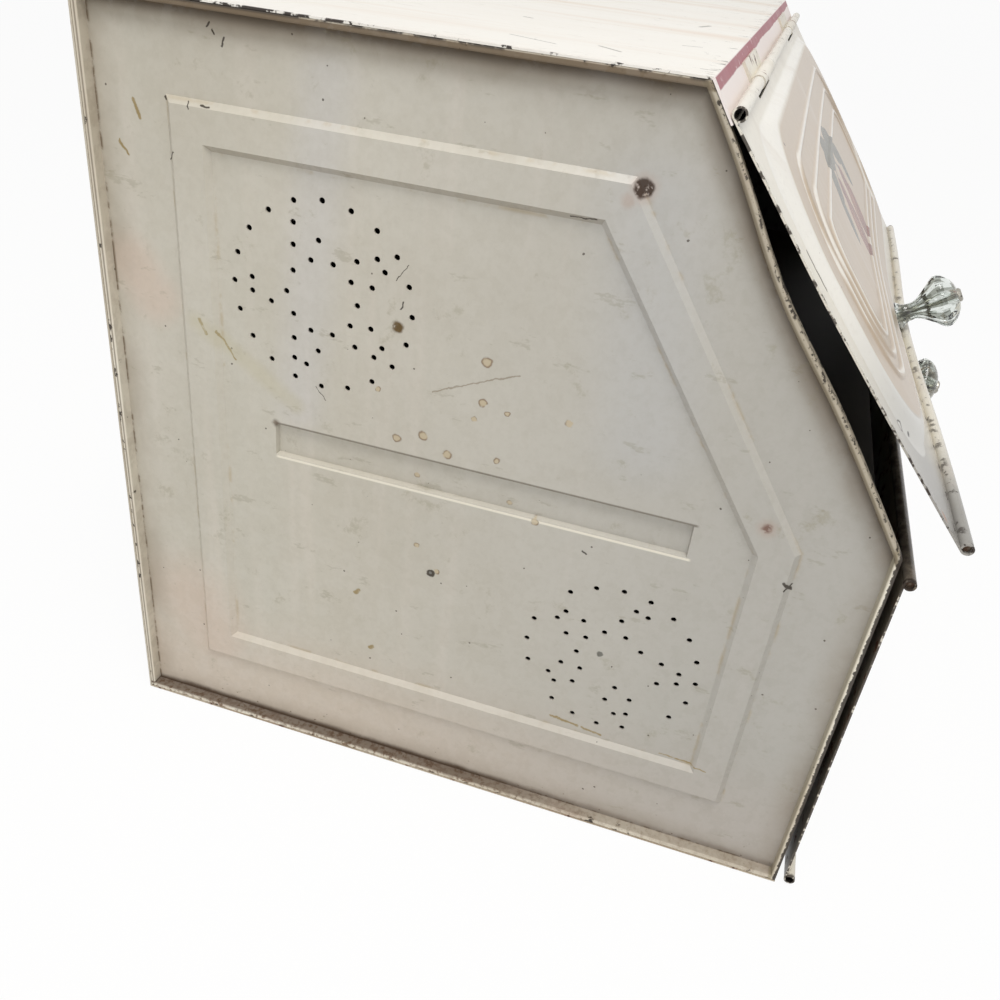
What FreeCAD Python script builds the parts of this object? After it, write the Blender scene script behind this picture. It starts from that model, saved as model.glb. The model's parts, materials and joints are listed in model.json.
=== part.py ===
import FreeCAD, Part
import math
import os
import Sketcher

# A table-top pie safe of enamelled tin plate, with a slanted upper door hinged at its top edge
# and an upright lower door hinged at its bottom edge. Each end is a pressed sheet with a hemmed
# rim, a raised frame, two punched vents and a ledge that carries the shelf.
# X runs to the right as seen from the front, the front faces -Y and Z is up. The origin lies on
# the table, under the middle of the box.

SIZES = {
    "Box": {
        "cabinet_width": 431.0,
        "cabinet_depth": 305.0,
        "cabinet_height": 308.0,
        "top_depth": 210.0,
        "knee_height": 170.0,
        "sheet": 0.7,
        "bend_radius": 1.0,
        "rim_height": 4.7,
        "rim_thickness": 2.2,
        "rim_rounding": 0.6,
        "cut_length": 20.0,
        "header_length": 14.5,
        "back_lip": 12.0,
    },
    "End pressings": {
        "band_offset": 31.0,
        "band_width": 16.3,
        "band_raise": 2.0,
        "band_slope": 2.2,
        "ledge_length": 167.6,
        "ledge_height": 15.0,
        "ledge_depth": 2.4,
        "ledge_slope": 0.5,
    },
    "Vents, with spreads in degrees": {
        "vent_reach": 63.7,
        "upper_vent_height": 216.5,
        "lower_vent_height": 90.0,
        "vent_ring_radius": 34.8,
        "vent_inner_radius": 13.9,
        "vent_middle_radius": 20.8,
        "vent_outer_radius": 27.8,
        "vent_middle_spread": 14.3,
        "vent_outer_spread": 5.3,
        "vent_hole_diameter": 2.2,
    },
    "Shelf": {
        "shelf_clearance": 0.8,
        "shelf_lip": 10.0,
        "shelf_setback": 4.5,
    },
    "Hinges, with the angle in degrees": {
        "hinge_drop": 12.8,
        "lower_hinge_standoff": 5.4,
        "ajar_angle": 4.6,
        "pin_diameter": 3.0,
        "running_gap": 0.08,
        "strap_fit_gap": 0.05,
        "strap_gauge": 1.05,
        "strap_width": 54.0,
        "strap_offset": 118.0,
        "upper_strap_leaf": 8.5,
        "lower_strap_seat": 14.0,
        "notch_side_gap": 0.8,
        "notch_depth": 5.0,
        "pin_reach": 15.0,
    },
    "Doors": {
        "door_side_inset": 0.6,
        "upper_door_overhang": 2.9,
        "lower_door_drop": 9.1,
        "edge_wire_diameter": 3.0,
        "edge_wire_gap": 0.05,
        "edge_wire_inset": 1.5,
        "field_raise": 3.0,
        "field_side_margin": 13.6,
        "field_hinge_margin": 9.0,
        "field_corner_radius": 32.0,
        "field_side_slope": 7.0,
        "field_end_slope": 5.0,
        "plateau_corner_radius": 54.0,
        "corner_straight": 0.5,
    },
    "Ridges pressed in each door": {
        "ridge_side_inset": 16.5,
        "ridge_end_inset": 13.0,
        "ridge_spacing": 13.5,
        "ridge_width": 3.4,
        "ridge_raise": 0.9,
        "ridge_slope": 1.0,
        "ridge_corner_radius": 46.0,
    },
    "Knobs and their fastenings": {
        "knob_head_diameter": 27.5,
        "knob_face_diameter": 17.0,
        "knob_neck_diameter": 9.0,
        "knob_foot_diameter": 14.4,
        "knob_length": 31.0,
        "knob_foot_height": 2.6,
        "knob_neck_start": 7.0,
        "knob_neck_end": 11.5,
        "knob_head_start": 21.5,
        "knob_head_end": 25.0,
        "knob_bead_gap": 1.5,
        "knob_field_gap": 0.65,
        "flute_radius": 3.2,
        "flute_depth": 0.9,
        "screw_diameter": 3.4,
        "screw_bore_gap": 0.15,
        "screw_head_diameter": 7.0,
        "screw_head_height": 1.6,
        "screw_slot_width": 1.0,
        "screw_slot_depth": 0.9,
        "screw_tail": 1.0,
        "washer_diameter": 9.0,
        "washer_thickness": 0.8,
        "nut_width": 7.0,
        "nut_thickness": 2.6,
    },
}

# How near an edge lies to a face, in mm, to count as lying in it.
TOUCH = 1e-4

RING_HOLES = 20
STAR_POINTS = 5
RIDGE_COUNT = 3
FLUTE_COUNT = 12

# The way that the first point of each vent's star points, in degrees round from the front.
UPPER_STAR_TURN = 180
LOWER_STAR_TURN = 0

# Punch marks that the left end lacks, named by ring and by number round from the front.
UPPER_VENT_UNPUNCHED = {("middle", 0), ("outer", 8)}
LOWER_VENT_UNPUNCHED = {
    ("ring", 17),
    ("ring", 12),
    ("ring", 8),
    ("inner", 7),
    ("inner", 9),
    ("inner", 0),
    ("middle", 2),
}

doc = FreeCAD.newDocument("PieSafe")


class Size:
    """A size of the object: the value it has now, and the formula that keeps it true."""

    def __init__(self, value, formula):
        self.value = value
        self.formula = formula

    def __add__(self, other):
        return Size(self.value + other.value, f"({self.formula} + {other.formula})")

    def __sub__(self, other):
        return Size(self.value - other.value, f"({self.formula} - {other.formula})")

    def __mul__(self, other):
        other = as_size(other)
        return Size(self.value * other.value, f"({self.formula} * {other.formula})")

    def __truediv__(self, other):
        other = as_size(other)
        return Size(self.value / other.value, f"({self.formula} / {other.formula})")

    def __neg__(self):
        return Size(-self.value, f"(-1 * {self.formula})")


def as_size(number):
    """Let a plain count or sign stand in a formula beside the named sizes."""
    if isinstance(number, Size):
        return number
    return Size(float(number), f"{number}")


def root(square):
    return Size(math.sqrt(square.value), f"sqrt({square.formula})")


def least(one, other):
    return Size(min(one.value, other.value), f"min({one.formula}; {other.formula})")


def magnitude(signed):
    return Size(abs(signed.value), f"abs({signed.formula})")


def sine(angle):
    return Size(math.sin(math.radians(angle.value)), f"sin({angle.formula})")


def cosine(angle):
    return Size(math.cos(math.radians(angle.value)), f"cos({angle.formula})")


def fill_sheet():
    """Write every driving size in the sheet, one row each, under its group's title."""
    sheet = doc.addObject("Spreadsheet::Sheet", "Sizes")
    named = {}
    row = 1
    for title, group in SIZES.items():
        sheet.set(f"A{row}", title)
        row += 1
        for name, value in group.items():
            sheet.set(f"A{row}", name)
            sheet.set(f"B{row}", f"{value}")
            sheet.setAlias(f"B{row}", name)
            named[name] = Size(value, f"Sizes.{name}")
            row += 1
    doc.recompute()
    return named


size = fill_sheet()
zero = as_size(0)
sheet = size["sheet"]
half_width = size["cabinet_width"] / 2
half_depth = size["cabinet_depth"] / 2
height = size["cabinet_height"]
rim_height = size["rim_height"]

# The slant runs from the knee up and back to the fold at the front of the top.
slant_run = size["cabinet_depth"] - size["top_depth"]
slant_rise = height - size["knee_height"]
slant_length = root(slant_run * slant_run + slant_rise * slant_rise)
slant_sine = slant_run / slant_length
slant_cosine = slant_rise / slant_length
slant_angle = Size(
    math.degrees(math.atan2(slant_run.value, slant_rise.value)),
    f"atan({slant_run.formula} / {slant_rise.formula})",
)
ajar = Size(size["ajar_angle"].value, f"({size['ajar_angle'].formula} * 1 deg)")
quarter_turn = Size(90.0, "90 deg")
fold_y = half_depth - size["top_depth"]

# The hinge tubes are rolled round the pins, and the straps' knuckles round the same pins.
pin_radius = size["pin_diameter"] / 2
tube_bore = pin_radius + size["running_gap"]
tube_radius = tube_bore + sheet
knuckle_bore = pin_radius + size["strap_fit_gap"]
knuckle_radius = knuckle_bore + size["strap_gauge"]
bead_bore = size["edge_wire_diameter"] / 2 + size["edge_wire_gap"]
bead_radius = bead_bore + sheet

# The upper strap lies on the header strip, and the lower strap on the floor.
upper_axis_out = sheet + knuckle_radius
upper_axis_y = fold_y - size["hinge_drop"] * slant_sine - upper_axis_out * slant_cosine
upper_axis_z = height - size["hinge_drop"] * slant_cosine + upper_axis_out * slant_sine
lower_axis_y = -half_depth - size["lower_hinge_standoff"]
lower_axis_z = sheet + knuckle_radius

door_half_width = half_width + rim_height - size["door_side_inset"]
upper_reach = slant_length - size["hinge_drop"] + size["upper_door_overhang"]
lower_reach = size["knee_height"] - size["lower_door_drop"] - lower_axis_z
bore_radius = size["screw_diameter"] / 2 + size["screw_bore_gap"]


def vector(across, up):
    return FreeCAD.Vector(across.value, up.value, 0)


def origin_part(body, role):
    return next(part for part in body.Origin.OriginFeatures if part.Role == role)


def new_body(label):
    body = doc.addObject("PartDesign::Body", label)
    body.Label = label
    return body


def new_sketch(body, name, plane, level=zero):
    """Lay a sketch on one of the body's own planes, moved along its normal to level."""
    sketch = body.newObject("Sketcher::SketchObject", name)
    sketch.AttachmentSupport = (origin_part(body, plane), [""])
    sketch.MapMode = "FlatFace"
    sketch.setExpression("AttachmentOffset.Base.z", level.formula)
    return sketch


def hold(sketch, kind, geometry, point, held):
    """Fix one coordinate of a point of the sketch, measured from the sketch's origin."""
    constraint = Sketcher.Constraint(kind, -1, 1, geometry, point, held.value)
    index = sketch.addConstraint(constraint)
    sketch.setExpression(f"Constraints[{index}]", held.formula)


def hold_radius(sketch, geometry, radius):
    index = sketch.addConstraint(Sketcher.Constraint("Radius", geometry, radius.value))
    sketch.setExpression(f"Constraints[{index}]", radius.formula)


def draw_polygon(sketch, corners):
    """Draw straight edges from corner to corner and fix every corner."""
    first = sketch.GeometryCount
    count = len(corners)
    for index, corner in enumerate(corners):
        following = corners[(index + 1) % count]
        sketch.addGeometry(Part.LineSegment(vector(*corner), vector(*following)))
    for index, (across, up) in enumerate(corners):
        following = first + (index + 1) % count
        sketch.addConstraint(Sketcher.Constraint("Coincident", first + index, 2, following, 1))
        hold(sketch, "DistanceX", first + index, 1, across)
        hold(sketch, "DistanceY", first + index, 1, up)


def draw_rectangle(sketch, left, right, bottom, top):
    draw_polygon(sketch, [(left, bottom), (right, bottom), (right, top), (left, top)])


def draw_circle(sketch, across, up, radius):
    centre = vector(across, up)
    upright = FreeCAD.Vector(0, 0, 1)
    circle = sketch.addGeometry(Part.Circle(centre, upright, radius.value))
    hold(sketch, "DistanceX", circle, 3, across)
    hold(sketch, "DistanceY", circle, 3, up)
    hold_radius(sketch, circle, radius)


def draw_rounded(sketch, half, bottom, top, radius):
    """Draw a rectangle with four round corners, centred across the sketch.

    A corner is limited by its side, which keeps a short straight stretch on both sides of the middle.
    """
    radius = least(radius, (top - bottom) / 2 - size["corner_straight"])
    corners = (
        (half - radius, bottom + radius, -90),
        (half - radius, top - radius, 0),
        (-half + radius, top - radius, 90),
        (-half + radius, bottom + radius, 180),
    )
    first = sketch.GeometryCount
    upright = FreeCAD.Vector(0, 0, 1)
    for across, up, start in corners:
        circle = Part.Circle(vector(across, up), upright, radius.value)
        sketch.addGeometry(Part.ArcOfCircle(circle, math.radians(start), math.radians(start + 90)))
    sides = (
        (vector(half, bottom + radius), vector(half, top - radius)),
        (vector(half - radius, top), vector(-half + radius, top)),
        (vector(-half, top - radius), vector(-half, bottom + radius)),
        (vector(-half + radius, bottom), vector(half - radius, bottom)),
    )
    for begin, end in sides:
        sketch.addGeometry(Part.LineSegment(begin, end))
    for index in range(4):
        side = first + 4 + index
        following = first + (index + 1) % 4
        sketch.addConstraint(Sketcher.Constraint("Tangent", first + index, 2, side, 1))
        sketch.addConstraint(Sketcher.Constraint("Tangent", side, 2, following, 1))
    for index, (across, up, _) in enumerate(corners):
        hold(sketch, "DistanceX", first + index, 3, across)
        hold(sketch, "DistanceY", first + index, 3, up)
    hold_radius(sketch, first, radius)


def add_pad(body, name, sketch, length, side="One side", reverse=False):
    pad = body.newObject("PartDesign::Pad", name)
    pad.Profile = sketch
    pad.SideType = side
    pad.Reversed = reverse
    pad.setExpression("Length", length.formula)
    return pad


def add_pocket(body, name, sketch, length, side="One side", reverse=False):
    pocket = body.newObject("PartDesign::Pocket", name)
    pocket.Profile = sketch
    pocket.SideType = side
    pocket.Reversed = reverse
    pocket.setExpression("Length", length.formula)
    return pocket


def add_loft(body, name, kind, foot, crest):
    """Join two outlines on parallel planes with straight sloping walls."""
    loft = body.newObject(f"PartDesign::{kind}Loft", name)
    loft.Profile = foot
    loft.Sections = [crest]
    loft.Ruled = True
    return loft


def press(body, name, plane, face, back, rise, slope, draw):
    """Raise a pressing from one face of the sheet and hollow it as far from the other face.

    draw puts the pressing's outline, moved in by a length, on a sketch. The hollow's outline
    lies within the raised one so that the sloping wall is as thick as the sheet.
    """
    wall = sheet * (root(slope * slope + rise * rise) - slope) / magnitude(rise)
    for kind, level, inset in (("Additive", face, zero), ("Subtractive", back, wall)):
        foot = new_sketch(body, f"{name}{kind}Foot", plane, level)
        draw(foot, inset)
        crest = new_sketch(body, f"{name}{kind}Crest", plane, level + rise)
        draw(crest, inset + slope)
        add_loft(body, f"{name}{kind}", kind, foot, crest)


def round_edges(body, name, radius, chosen):
    """Round the edges of the body's last feature that chosen picks."""
    doc.recompute()
    base = body.Tip
    names = [f"Edge{i + 1}" for i, edge in enumerate(base.Shape.Edges) if chosen(edge)]
    fillet = body.newObject("PartDesign::Fillet", name)
    fillet.Base = (base, names)
    fillet.setExpression("Radius", radius.formula)
    doc.recompute()
    return fillet


def lies_at(edge, axis, place):
    """Tell whether the whole edge lies at one place along an axis."""
    low = (edge.BoundBox.XMin, edge.BoundBox.YMin, edge.BoundBox.ZMin)[axis]
    high = (edge.BoundBox.XMax, edge.BoundBox.YMax, edge.BoundBox.ZMax)[axis]
    return all(math.isclose(end, place.value, abs_tol=TOUCH) for end in (low, high))


def set_place(body, across, along, up, turn=None):
    """Put a body at a place, turned about the X axis."""
    if turn is not None:
        axis = FreeCAD.Vector(1, 0, 0)
        body.Placement.Rotation = FreeCAD.Rotation(axis, turn.value)
        body.setExpression("Placement.Rotation.Angle", turn.formula)
    body.setExpression("Placement.Base.x", across.formula)
    body.setExpression("Placement.Base.y", along.formula)
    body.setExpression("Placement.Base.z", up.formula)


# Each end

def end_outline(inset, skin):
    """Corners of the five-sided end, moved in by inset, and by skin behind, above and below."""
    front = inset - half_depth
    back = half_depth - inset - skin
    bottom = inset + skin
    top = height - inset - skin
    knee = size["knee_height"] - inset * slant_run / (slant_length + slant_rise)
    fold = front + (top - knee) * slant_run / slant_rise
    return [(back, bottom), (front, bottom), (front, knee), (fold, top), (back, top)]


def draw_ring_outline(sketch, outer, inner, skin=zero):
    draw_polygon(sketch, end_outline(outer, skin))
    draw_polygon(sketch, end_outline(inner, skin))


def vent_marks(star_turn):
    """Radius and angle of every hole of a vent, named by ring and number."""
    marks = {}
    for index in range(RING_HOLES):
        marks["ring", index] = (size["vent_ring_radius"], as_size(360 * index / RING_HOLES))
    for index in range(2 * STAR_POINTS):
        marks["inner", index] = (size["vent_inner_radius"], as_size(180 * index / STAR_POINTS))
    for index in range(STAR_POINTS):
        axis = as_size(star_turn + 360 * index / STAR_POINTS)
        middle = size["vent_middle_spread"]
        outer = size["vent_outer_spread"]
        marks["middle", 2 * index] = (size["vent_middle_radius"], axis - middle)
        marks["middle", 2 * index + 1] = (size["vent_middle_radius"], axis + middle)
        marks["outer", 2 * index] = (size["vent_outer_radius"], axis - outer)
        marks["outer", 2 * index + 1] = (size["vent_outer_radius"], axis + outer)
    return marks


def punch_vent(body, name, plane, reverse, centre, star_turn, unpunched):
    """Punch one round vent: a ring of holes round a five-pointed star."""
    along, up = centre
    sketch = new_sketch(body, f"{name}Holes", "YZ_Plane", plane)
    for mark, (radius, angle) in vent_marks(star_turn).items():
        if mark in unpunched:
            continue
        hole_along = along - radius * cosine(angle)
        hole_up = up + radius * sine(angle)
        draw_circle(sketch, hole_along, hole_up, size["vent_hole_diameter"] / 2)
    add_pocket(body, name, sketch, size["cut_length"], "Symmetric", reverse)


def make_end(label, side, upper_unpunched=frozenset(), lower_unpunched=frozenset()):
    """Press one end sheet: hemmed rim, raised frame, shelf ledge and two vents."""
    body = new_body(label)
    outward = side < 0
    outer_face = half_width * side
    inner_face = (half_width - sheet) * side
    plate = new_sketch(body, f"{label}Outline", "YZ_Plane", outer_face)
    draw_polygon(plate, end_outline(zero, sheet))
    add_pad(body, f"{label}Plate", plate, sheet, reverse=not outward)

    rim = new_sketch(body, f"{label}RimOutline", "YZ_Plane", inner_face)
    draw_ring_outline(rim, zero, size["rim_thickness"], sheet)
    add_pad(body, f"{label}Rim", rim, rim_height + sheet, reverse=outward)
    rim_end = (half_width + rim_height) * side
    round_edges(body, f"{label}Hem", size["rim_rounding"], lambda edge: lies_at(edge, 0, rim_end))

    def draw_band(sketch, inset):
        inner = size["band_offset"] + size["band_width"]
        draw_ring_outline(sketch, size["band_offset"] + inset, inner - inset)

    def draw_ledge(sketch, inset):
        half_ledge = size["ledge_length"] / 2 - inset
        half_rise = size["ledge_height"] / 2 - inset
        draw_rectangle(sketch, -half_ledge, half_ledge, height / 2 - half_rise, height / 2 + half_rise)

    plane = "YZ_Plane"
    rise = size["band_raise"] * side
    press(body, f"{label}Band", plane, outer_face, inner_face, rise, size["band_slope"], draw_band)
    rise = size["ledge_depth"] * -side
    press(body, f"{label}Ledge", plane, inner_face, outer_face, rise, size["ledge_slope"], draw_ledge)

    upper = (size["vent_reach"], size["upper_vent_height"])
    lower = (-size["vent_reach"], size["lower_vent_height"])
    punch_vent(body, f"{label}UpperVent", outer_face, outward, upper, UPPER_STAR_TURN, upper_unpunched)
    punch_vent(body, f"{label}LowerVent", outer_face, outward, lower, LOWER_STAR_TURN, lower_unpunched)
    return body


# Top, back, floor and shelf

def slant_point(down, out):
    """A point of the side view, so far down the slant from the fold and so far out of it."""
    along = fold_y - down * slant_sine - out * slant_cosine
    up = height - down * slant_cosine + out * slant_sine
    return along, up


def make_top():
    """Fold the top sheet down at its front into the header strip that carries the hinge."""
    body = new_body("top_panel")
    section = new_sketch(body, "TopSection", "YZ_Plane")
    under = height - sheet
    inner_fold = fold_y - sheet * slant_run / slant_rise
    outer_fold = fold_y - sheet / slant_cosine
    corners = [
        (half_depth, height),
        (outer_fold, height),
        slant_point(size["header_length"], sheet),
        slant_point(size["header_length"], zero),
        (inner_fold, under),
        (half_depth, under),
    ]
    draw_polygon(section, corners)
    add_pad(body, "TopSheet", section, (half_width + rim_height) * 2, "Symmetric")
    round_edges(body, "Bend", size["bend_radius"], lambda edge: lies_at(edge, 1, outer_fold))
    return body


def make_back():
    """Close the back with a sheet whose upper and lower edges are folded forward as lips."""
    body = new_body("back_panel")
    face = half_depth - sheet
    web = new_sketch(body, "BackSection", "YZ_Plane")
    draw_rectangle(web, face, half_depth, zero, height - sheet)
    add_pad(body, "BackWeb", web, (half_width + rim_height) * 2, "Symmetric")
    lips = new_sketch(body, "BackLipSections", "YZ_Plane")
    reach = half_depth - size["back_lip"]
    draw_rectangle(lips, reach, half_depth, sheet, sheet * 2)
    draw_rectangle(lips, reach, half_depth, height - sheet * 2, height - sheet)
    inner_width = (half_width - size["shelf_clearance"] - sheet) * 2
    add_pad(body, "BackLips", lips, inner_width, "Symmetric")
    return body


def make_floor():
    body = new_body("bottom_panel")
    outline = new_sketch(body, "FloorOutline", "XY_Plane")
    reach = half_width + rim_height
    draw_rectangle(outline, -reach, reach, -half_depth, half_depth - sheet)
    add_pad(body, "FloorSheet", outline, sheet)
    return body


def make_shelf():
    """Lay the shelf on the two pressed ledges, with its front edge folded down."""
    body = new_body("shelf")
    seat = height / 2 + size["ledge_height"] / 2
    front = size["shelf_setback"] - half_depth
    back = half_depth - sheet - size["shelf_clearance"]
    section = new_sketch(body, "ShelfSection", "YZ_Plane")
    corners = [
        (back, seat),
        (back, seat + sheet),
        (front, seat + sheet),
        (front, seat + sheet - size["shelf_lip"]),
        (front + sheet, seat + sheet - size["shelf_lip"]),
        (front + sheet, seat),
    ]
    draw_polygon(section, corners)
    width = (half_width - sheet - size["shelf_clearance"]) * 2
    add_pad(body, "ShelfSheet", section, width, "Symmetric")
    return body


# Hinges

def make_strap(label, side, along, up, leaf, turn=None):
    """Roll a strap round its pin, with a flat leaf that lies on the sheet behind it."""
    body = new_body(label)
    gauge = size["strap_gauge"]
    flat = new_sketch(body, f"{label}LeafSection", "YZ_Plane")
    draw_rectangle(flat, zero, leaf, -knuckle_radius, gauge - knuckle_radius)
    add_pad(body, f"{label}Leaf", flat, size["strap_width"], "Symmetric")
    ring = new_sketch(body, f"{label}KnuckleSection", "YZ_Plane")
    draw_circle(ring, zero, zero, knuckle_radius)
    draw_circle(ring, zero, zero, knuckle_bore)
    add_pad(body, f"{label}Knuckle", ring, size["strap_width"], "Symmetric")
    set_place(body, size["strap_offset"] * side, along, up, turn)
    return body


def make_pins(label, along, up):
    """Make the two short wire pins that join the straps to the door's rolled tube."""
    length = size["strap_width"] + size["pin_reach"] * 2
    pins = []
    for name, side in (("Left", -1), ("Right", 1)):
        pin = doc.addObject("Part::Cylinder", f"{label}{name}")
        pin.setExpression("Radius", pin_radius.formula)
        pin.setExpression("Height", length.formula)
        start = size["strap_offset"] * side - length / 2
        pin.Placement.Rotation = FreeCAD.Rotation(FreeCAD.Vector(0, 1, 0), quarter_turn.value)
        pin.setExpression("Placement.Base.x", start.formula)
        pin.setExpression("Placement.Base.y", along.formula)
        pin.setExpression("Placement.Base.z", up.formula)
        pins.append(pin)
    group = doc.addObject("Part::Compound", label)
    group.Label = label
    group.Links = pins
    return group


# Doors: the pin's axis is local X, local Z points out of the door, and reach is the distance
# from the axis to the middle of the wired edge, towards local +Y or -Y as way says.

class Door:
    """One door with what it carries, and where its hinge axis lies."""

    def __init__(self, name, reach, way, along, up, turn):
        self.name = name
        self.reach = reach
        self.way = way
        self.along = along
        self.up = up
        self.turn = turn

    def put(self, body, across=zero, local_y=zero, local_z=zero):
        """Place a body given in the door's own directions."""
        along = self.along + local_y * cosine(self.turn) - local_z * sine(self.turn)
        up = self.up + local_y * sine(self.turn) + local_z * cosine(self.turn)
        set_place(body, across, along, up, self.turn)
        return body

    def span(self, near, far):
        """Order two distances from the axis as the low and high local Y."""
        low, high = sorted((near * self.way, far * self.way), key=lambda item: item.value)
        return low, high


bead_height = bead_radius - tube_radius
plate_outside = sheet - tube_radius
knob_distance = size["knob_foot_diameter"] / 2 + bead_radius + size["knob_bead_gap"]
field_edge_margin = knob_distance + size["knob_foot_diameter"] / 2 + size["knob_field_gap"]


def press_field(body, door):
    """Raise the door's broad field between its foot outline and its narrower plateau.

    Its far edge stops short of the knob's foot.
    """
    foot_half = door_half_width - size["field_side_margin"]
    plateau_half = foot_half - size["field_side_slope"]
    near = size["field_hinge_margin"]
    far = door.reach - field_edge_margin
    slope = size["field_end_slope"]
    for name, kind, drop in (("Field", "Additive", zero), ("FieldHollow", "Subtractive", sheet)):
        level = plate_outside - drop
        foot = new_sketch(body, f"{door.name}{name}Foot", "XY_Plane", level)
        low, high = door.span(near, far)
        draw_rounded(foot, foot_half, low, high, size["field_corner_radius"])
        plateau = new_sketch(body, f"{door.name}{name}Plateau", "XY_Plane", level + size["field_raise"])
        low, high = door.span(near + slope, far - slope)
        draw_rounded(plateau, plateau_half, low, high, size["plateau_corner_radius"])
        add_loft(body, f"{door.name}{name}", kind, foot, plateau)
    return plateau_half, near + slope, far - slope


def press_ridges(body, door, plateau_half, near, far):
    """Press nested ridges in the field, each a round-cornered frame inside the last."""
    top = plate_outside + size["field_raise"]
    width = size["ridge_width"]
    for index in range(RIDGE_COUNT):
        step = size["ridge_spacing"] * index
        half = plateau_half - size["ridge_side_inset"] - step
        ends = size["ridge_end_inset"] + step
        low, high = door.span(near + ends, far - ends)
        radius = size["ridge_corner_radius"] - step

        def draw_ridge(sketch, inset):
            for move in (inset, width - inset):
                draw_rounded(sketch, half - move, low + move, high - move, radius - move)

        name = f"{door.name}Ridge{index}"
        rise = size["ridge_raise"]
        press(body, name, "XY_Plane", top, top - sheet, rise, size["ridge_slope"], draw_ridge)


def make_door_panel(door):
    """Roll the hinge tube and the wired bead on one sheet and press its field."""
    body = new_body(f"{door.name}_door_panel")
    plate = new_sketch(body, f"{door.name}PlateOutline", "XY_Plane", -tube_radius)
    low, high = door.span(zero, door.reach)
    draw_rectangle(plate, -door_half_width, door_half_width, low, high)
    add_pad(body, f"{door.name}Plate", plate, sheet)
    press_ridges(body, door, *press_field(body, door))

    rolls = new_sketch(body, f"{door.name}RollSections", "YZ_Plane")
    draw_circle(rolls, zero, zero, tube_radius)
    draw_circle(rolls, zero, zero, tube_bore)
    draw_circle(rolls, door.reach * door.way, bead_height, bead_radius)
    draw_circle(rolls, door.reach * door.way, bead_height, bead_bore)
    add_pad(body, f"{door.name}Rolls", rolls, door_half_width * 2, "Symmetric")

    notch = new_sketch(body, f"{door.name}NotchOutlines", "XY_Plane")
    half_notch = size["strap_width"] / 2 + size["notch_side_gap"]
    low, high = door.span(-size["notch_depth"], size["notch_depth"])
    for side in (-1, 1):
        centre = size["strap_offset"] * side
        draw_rectangle(notch, centre - half_notch, centre + half_notch, low, high)
    add_pocket(body, f"{door.name}Notches", notch, size["cut_length"], "Symmetric")

    bore = new_sketch(body, f"{door.name}BoreOutline", "XY_Plane", -tube_radius)
    draw_circle(bore, zero, (door.reach - knob_distance) * door.way, bore_radius)
    add_pocket(body, f"{door.name}Bore", bore, size["cut_length"], "Symmetric")
    return door.put(body)


def make_edge_wire(door):
    body = new_body(f"{door.name}_door_edge_wire")
    section = new_sketch(body, f"{door.name}WireSection", "YZ_Plane")
    draw_circle(section, zero, zero, size["edge_wire_diameter"] / 2)
    length = (door_half_width - size["edge_wire_inset"]) * 2
    add_pad(body, f"{door.name}Wire", section, length, "Symmetric")
    return door.put(body, zero, door.reach * door.way, bead_height)


def knob_height(door, body, local_z):
    return door.put(body, zero, (door.reach - knob_distance) * door.way, local_z)


def spin(body, name, sketch):
    """Turn a half section about the body's own upright axis."""
    turned = body.newObject("PartDesign::Revolution", name)
    turned.Profile = sketch
    turned.ReferenceAxis = (sketch, ["V_Axis"])
    turned.Angle = 360
    return turned


def make_knob(door):
    """Mould the glass knob: a foot, a waist and a trumpet head with flutes round its rim."""
    body = new_body(f"{door.name}_knob")
    half = new_sketch(body, f"{door.name}KnobSection", "XZ_Plane")
    foot = size["knob_foot_diameter"] / 2
    neck = size["knob_neck_diameter"] / 2
    head = size["knob_head_diameter"] / 2
    face = size["knob_face_diameter"] / 2
    corners = [
        (bore_radius, zero),
        (foot, zero),
        (foot, size["knob_foot_height"]),
        (neck, size["knob_neck_start"]),
        (neck, size["knob_neck_end"]),
        (head, size["knob_head_start"]),
        (head, size["knob_head_end"]),
        (face, size["knob_length"]),
        (bore_radius, size["knob_length"]),
    ]
    draw_polygon(half, corners)
    spin(body, f"{door.name}KnobTurned", half)
    flute = new_sketch(body, f"{door.name}FluteOutline", "XY_Plane", size["knob_neck_end"])
    centre = head + size["flute_radius"] - size["flute_depth"]
    draw_circle(flute, centre, zero, size["flute_radius"])
    length = size["knob_length"] - size["knob_neck_end"]
    cut = add_pocket(body, f"{door.name}Flute", flute, length, reverse=True)
    doc.recompute()
    ring = body.newObject("PartDesign::PolarPattern", f"{door.name}Flutes")
    ring.Originals = [cut]
    ring.Axis = (origin_part(body, "Z_Axis"), [""])
    ring.Angle = 360
    ring.Occurrences = FLUTE_COUNT
    body.Tip = ring
    return knob_height(door, body, plate_outside)


def make_screw(door):
    """Turn the long screw that holds the knob, with a slot across its low domed head."""
    body = new_body(f"{door.name}_knob_screw")
    half = new_sketch(body, f"{door.name}ScrewSection", "XZ_Plane")
    shank = size["screw_diameter"] / 2
    head = size["screw_head_diameter"] / 2
    under = size["knob_length"]
    rise = size["screw_head_height"]
    tail = -(sheet + size["washer_thickness"] + size["nut_thickness"] + size["screw_tail"])
    corners = [
        (zero, tail),
        (shank, tail),
        (shank, under),
        (head, under),
        (head, under + rise / 2),
        (head - rise / 2, under + rise),
        (zero, under + rise),
    ]
    draw_polygon(half, corners)
    spin(body, f"{door.name}ScrewTurned", half)
    slot = new_sketch(body, f"{door.name}SlotOutline", "XY_Plane", under + rise)
    half_slot = size["screw_slot_width"] / 2
    draw_rectangle(slot, -head, head, -half_slot, half_slot)
    add_pocket(body, f"{door.name}Slot", slot, size["screw_slot_depth"])
    return knob_height(door, body, plate_outside)


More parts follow.
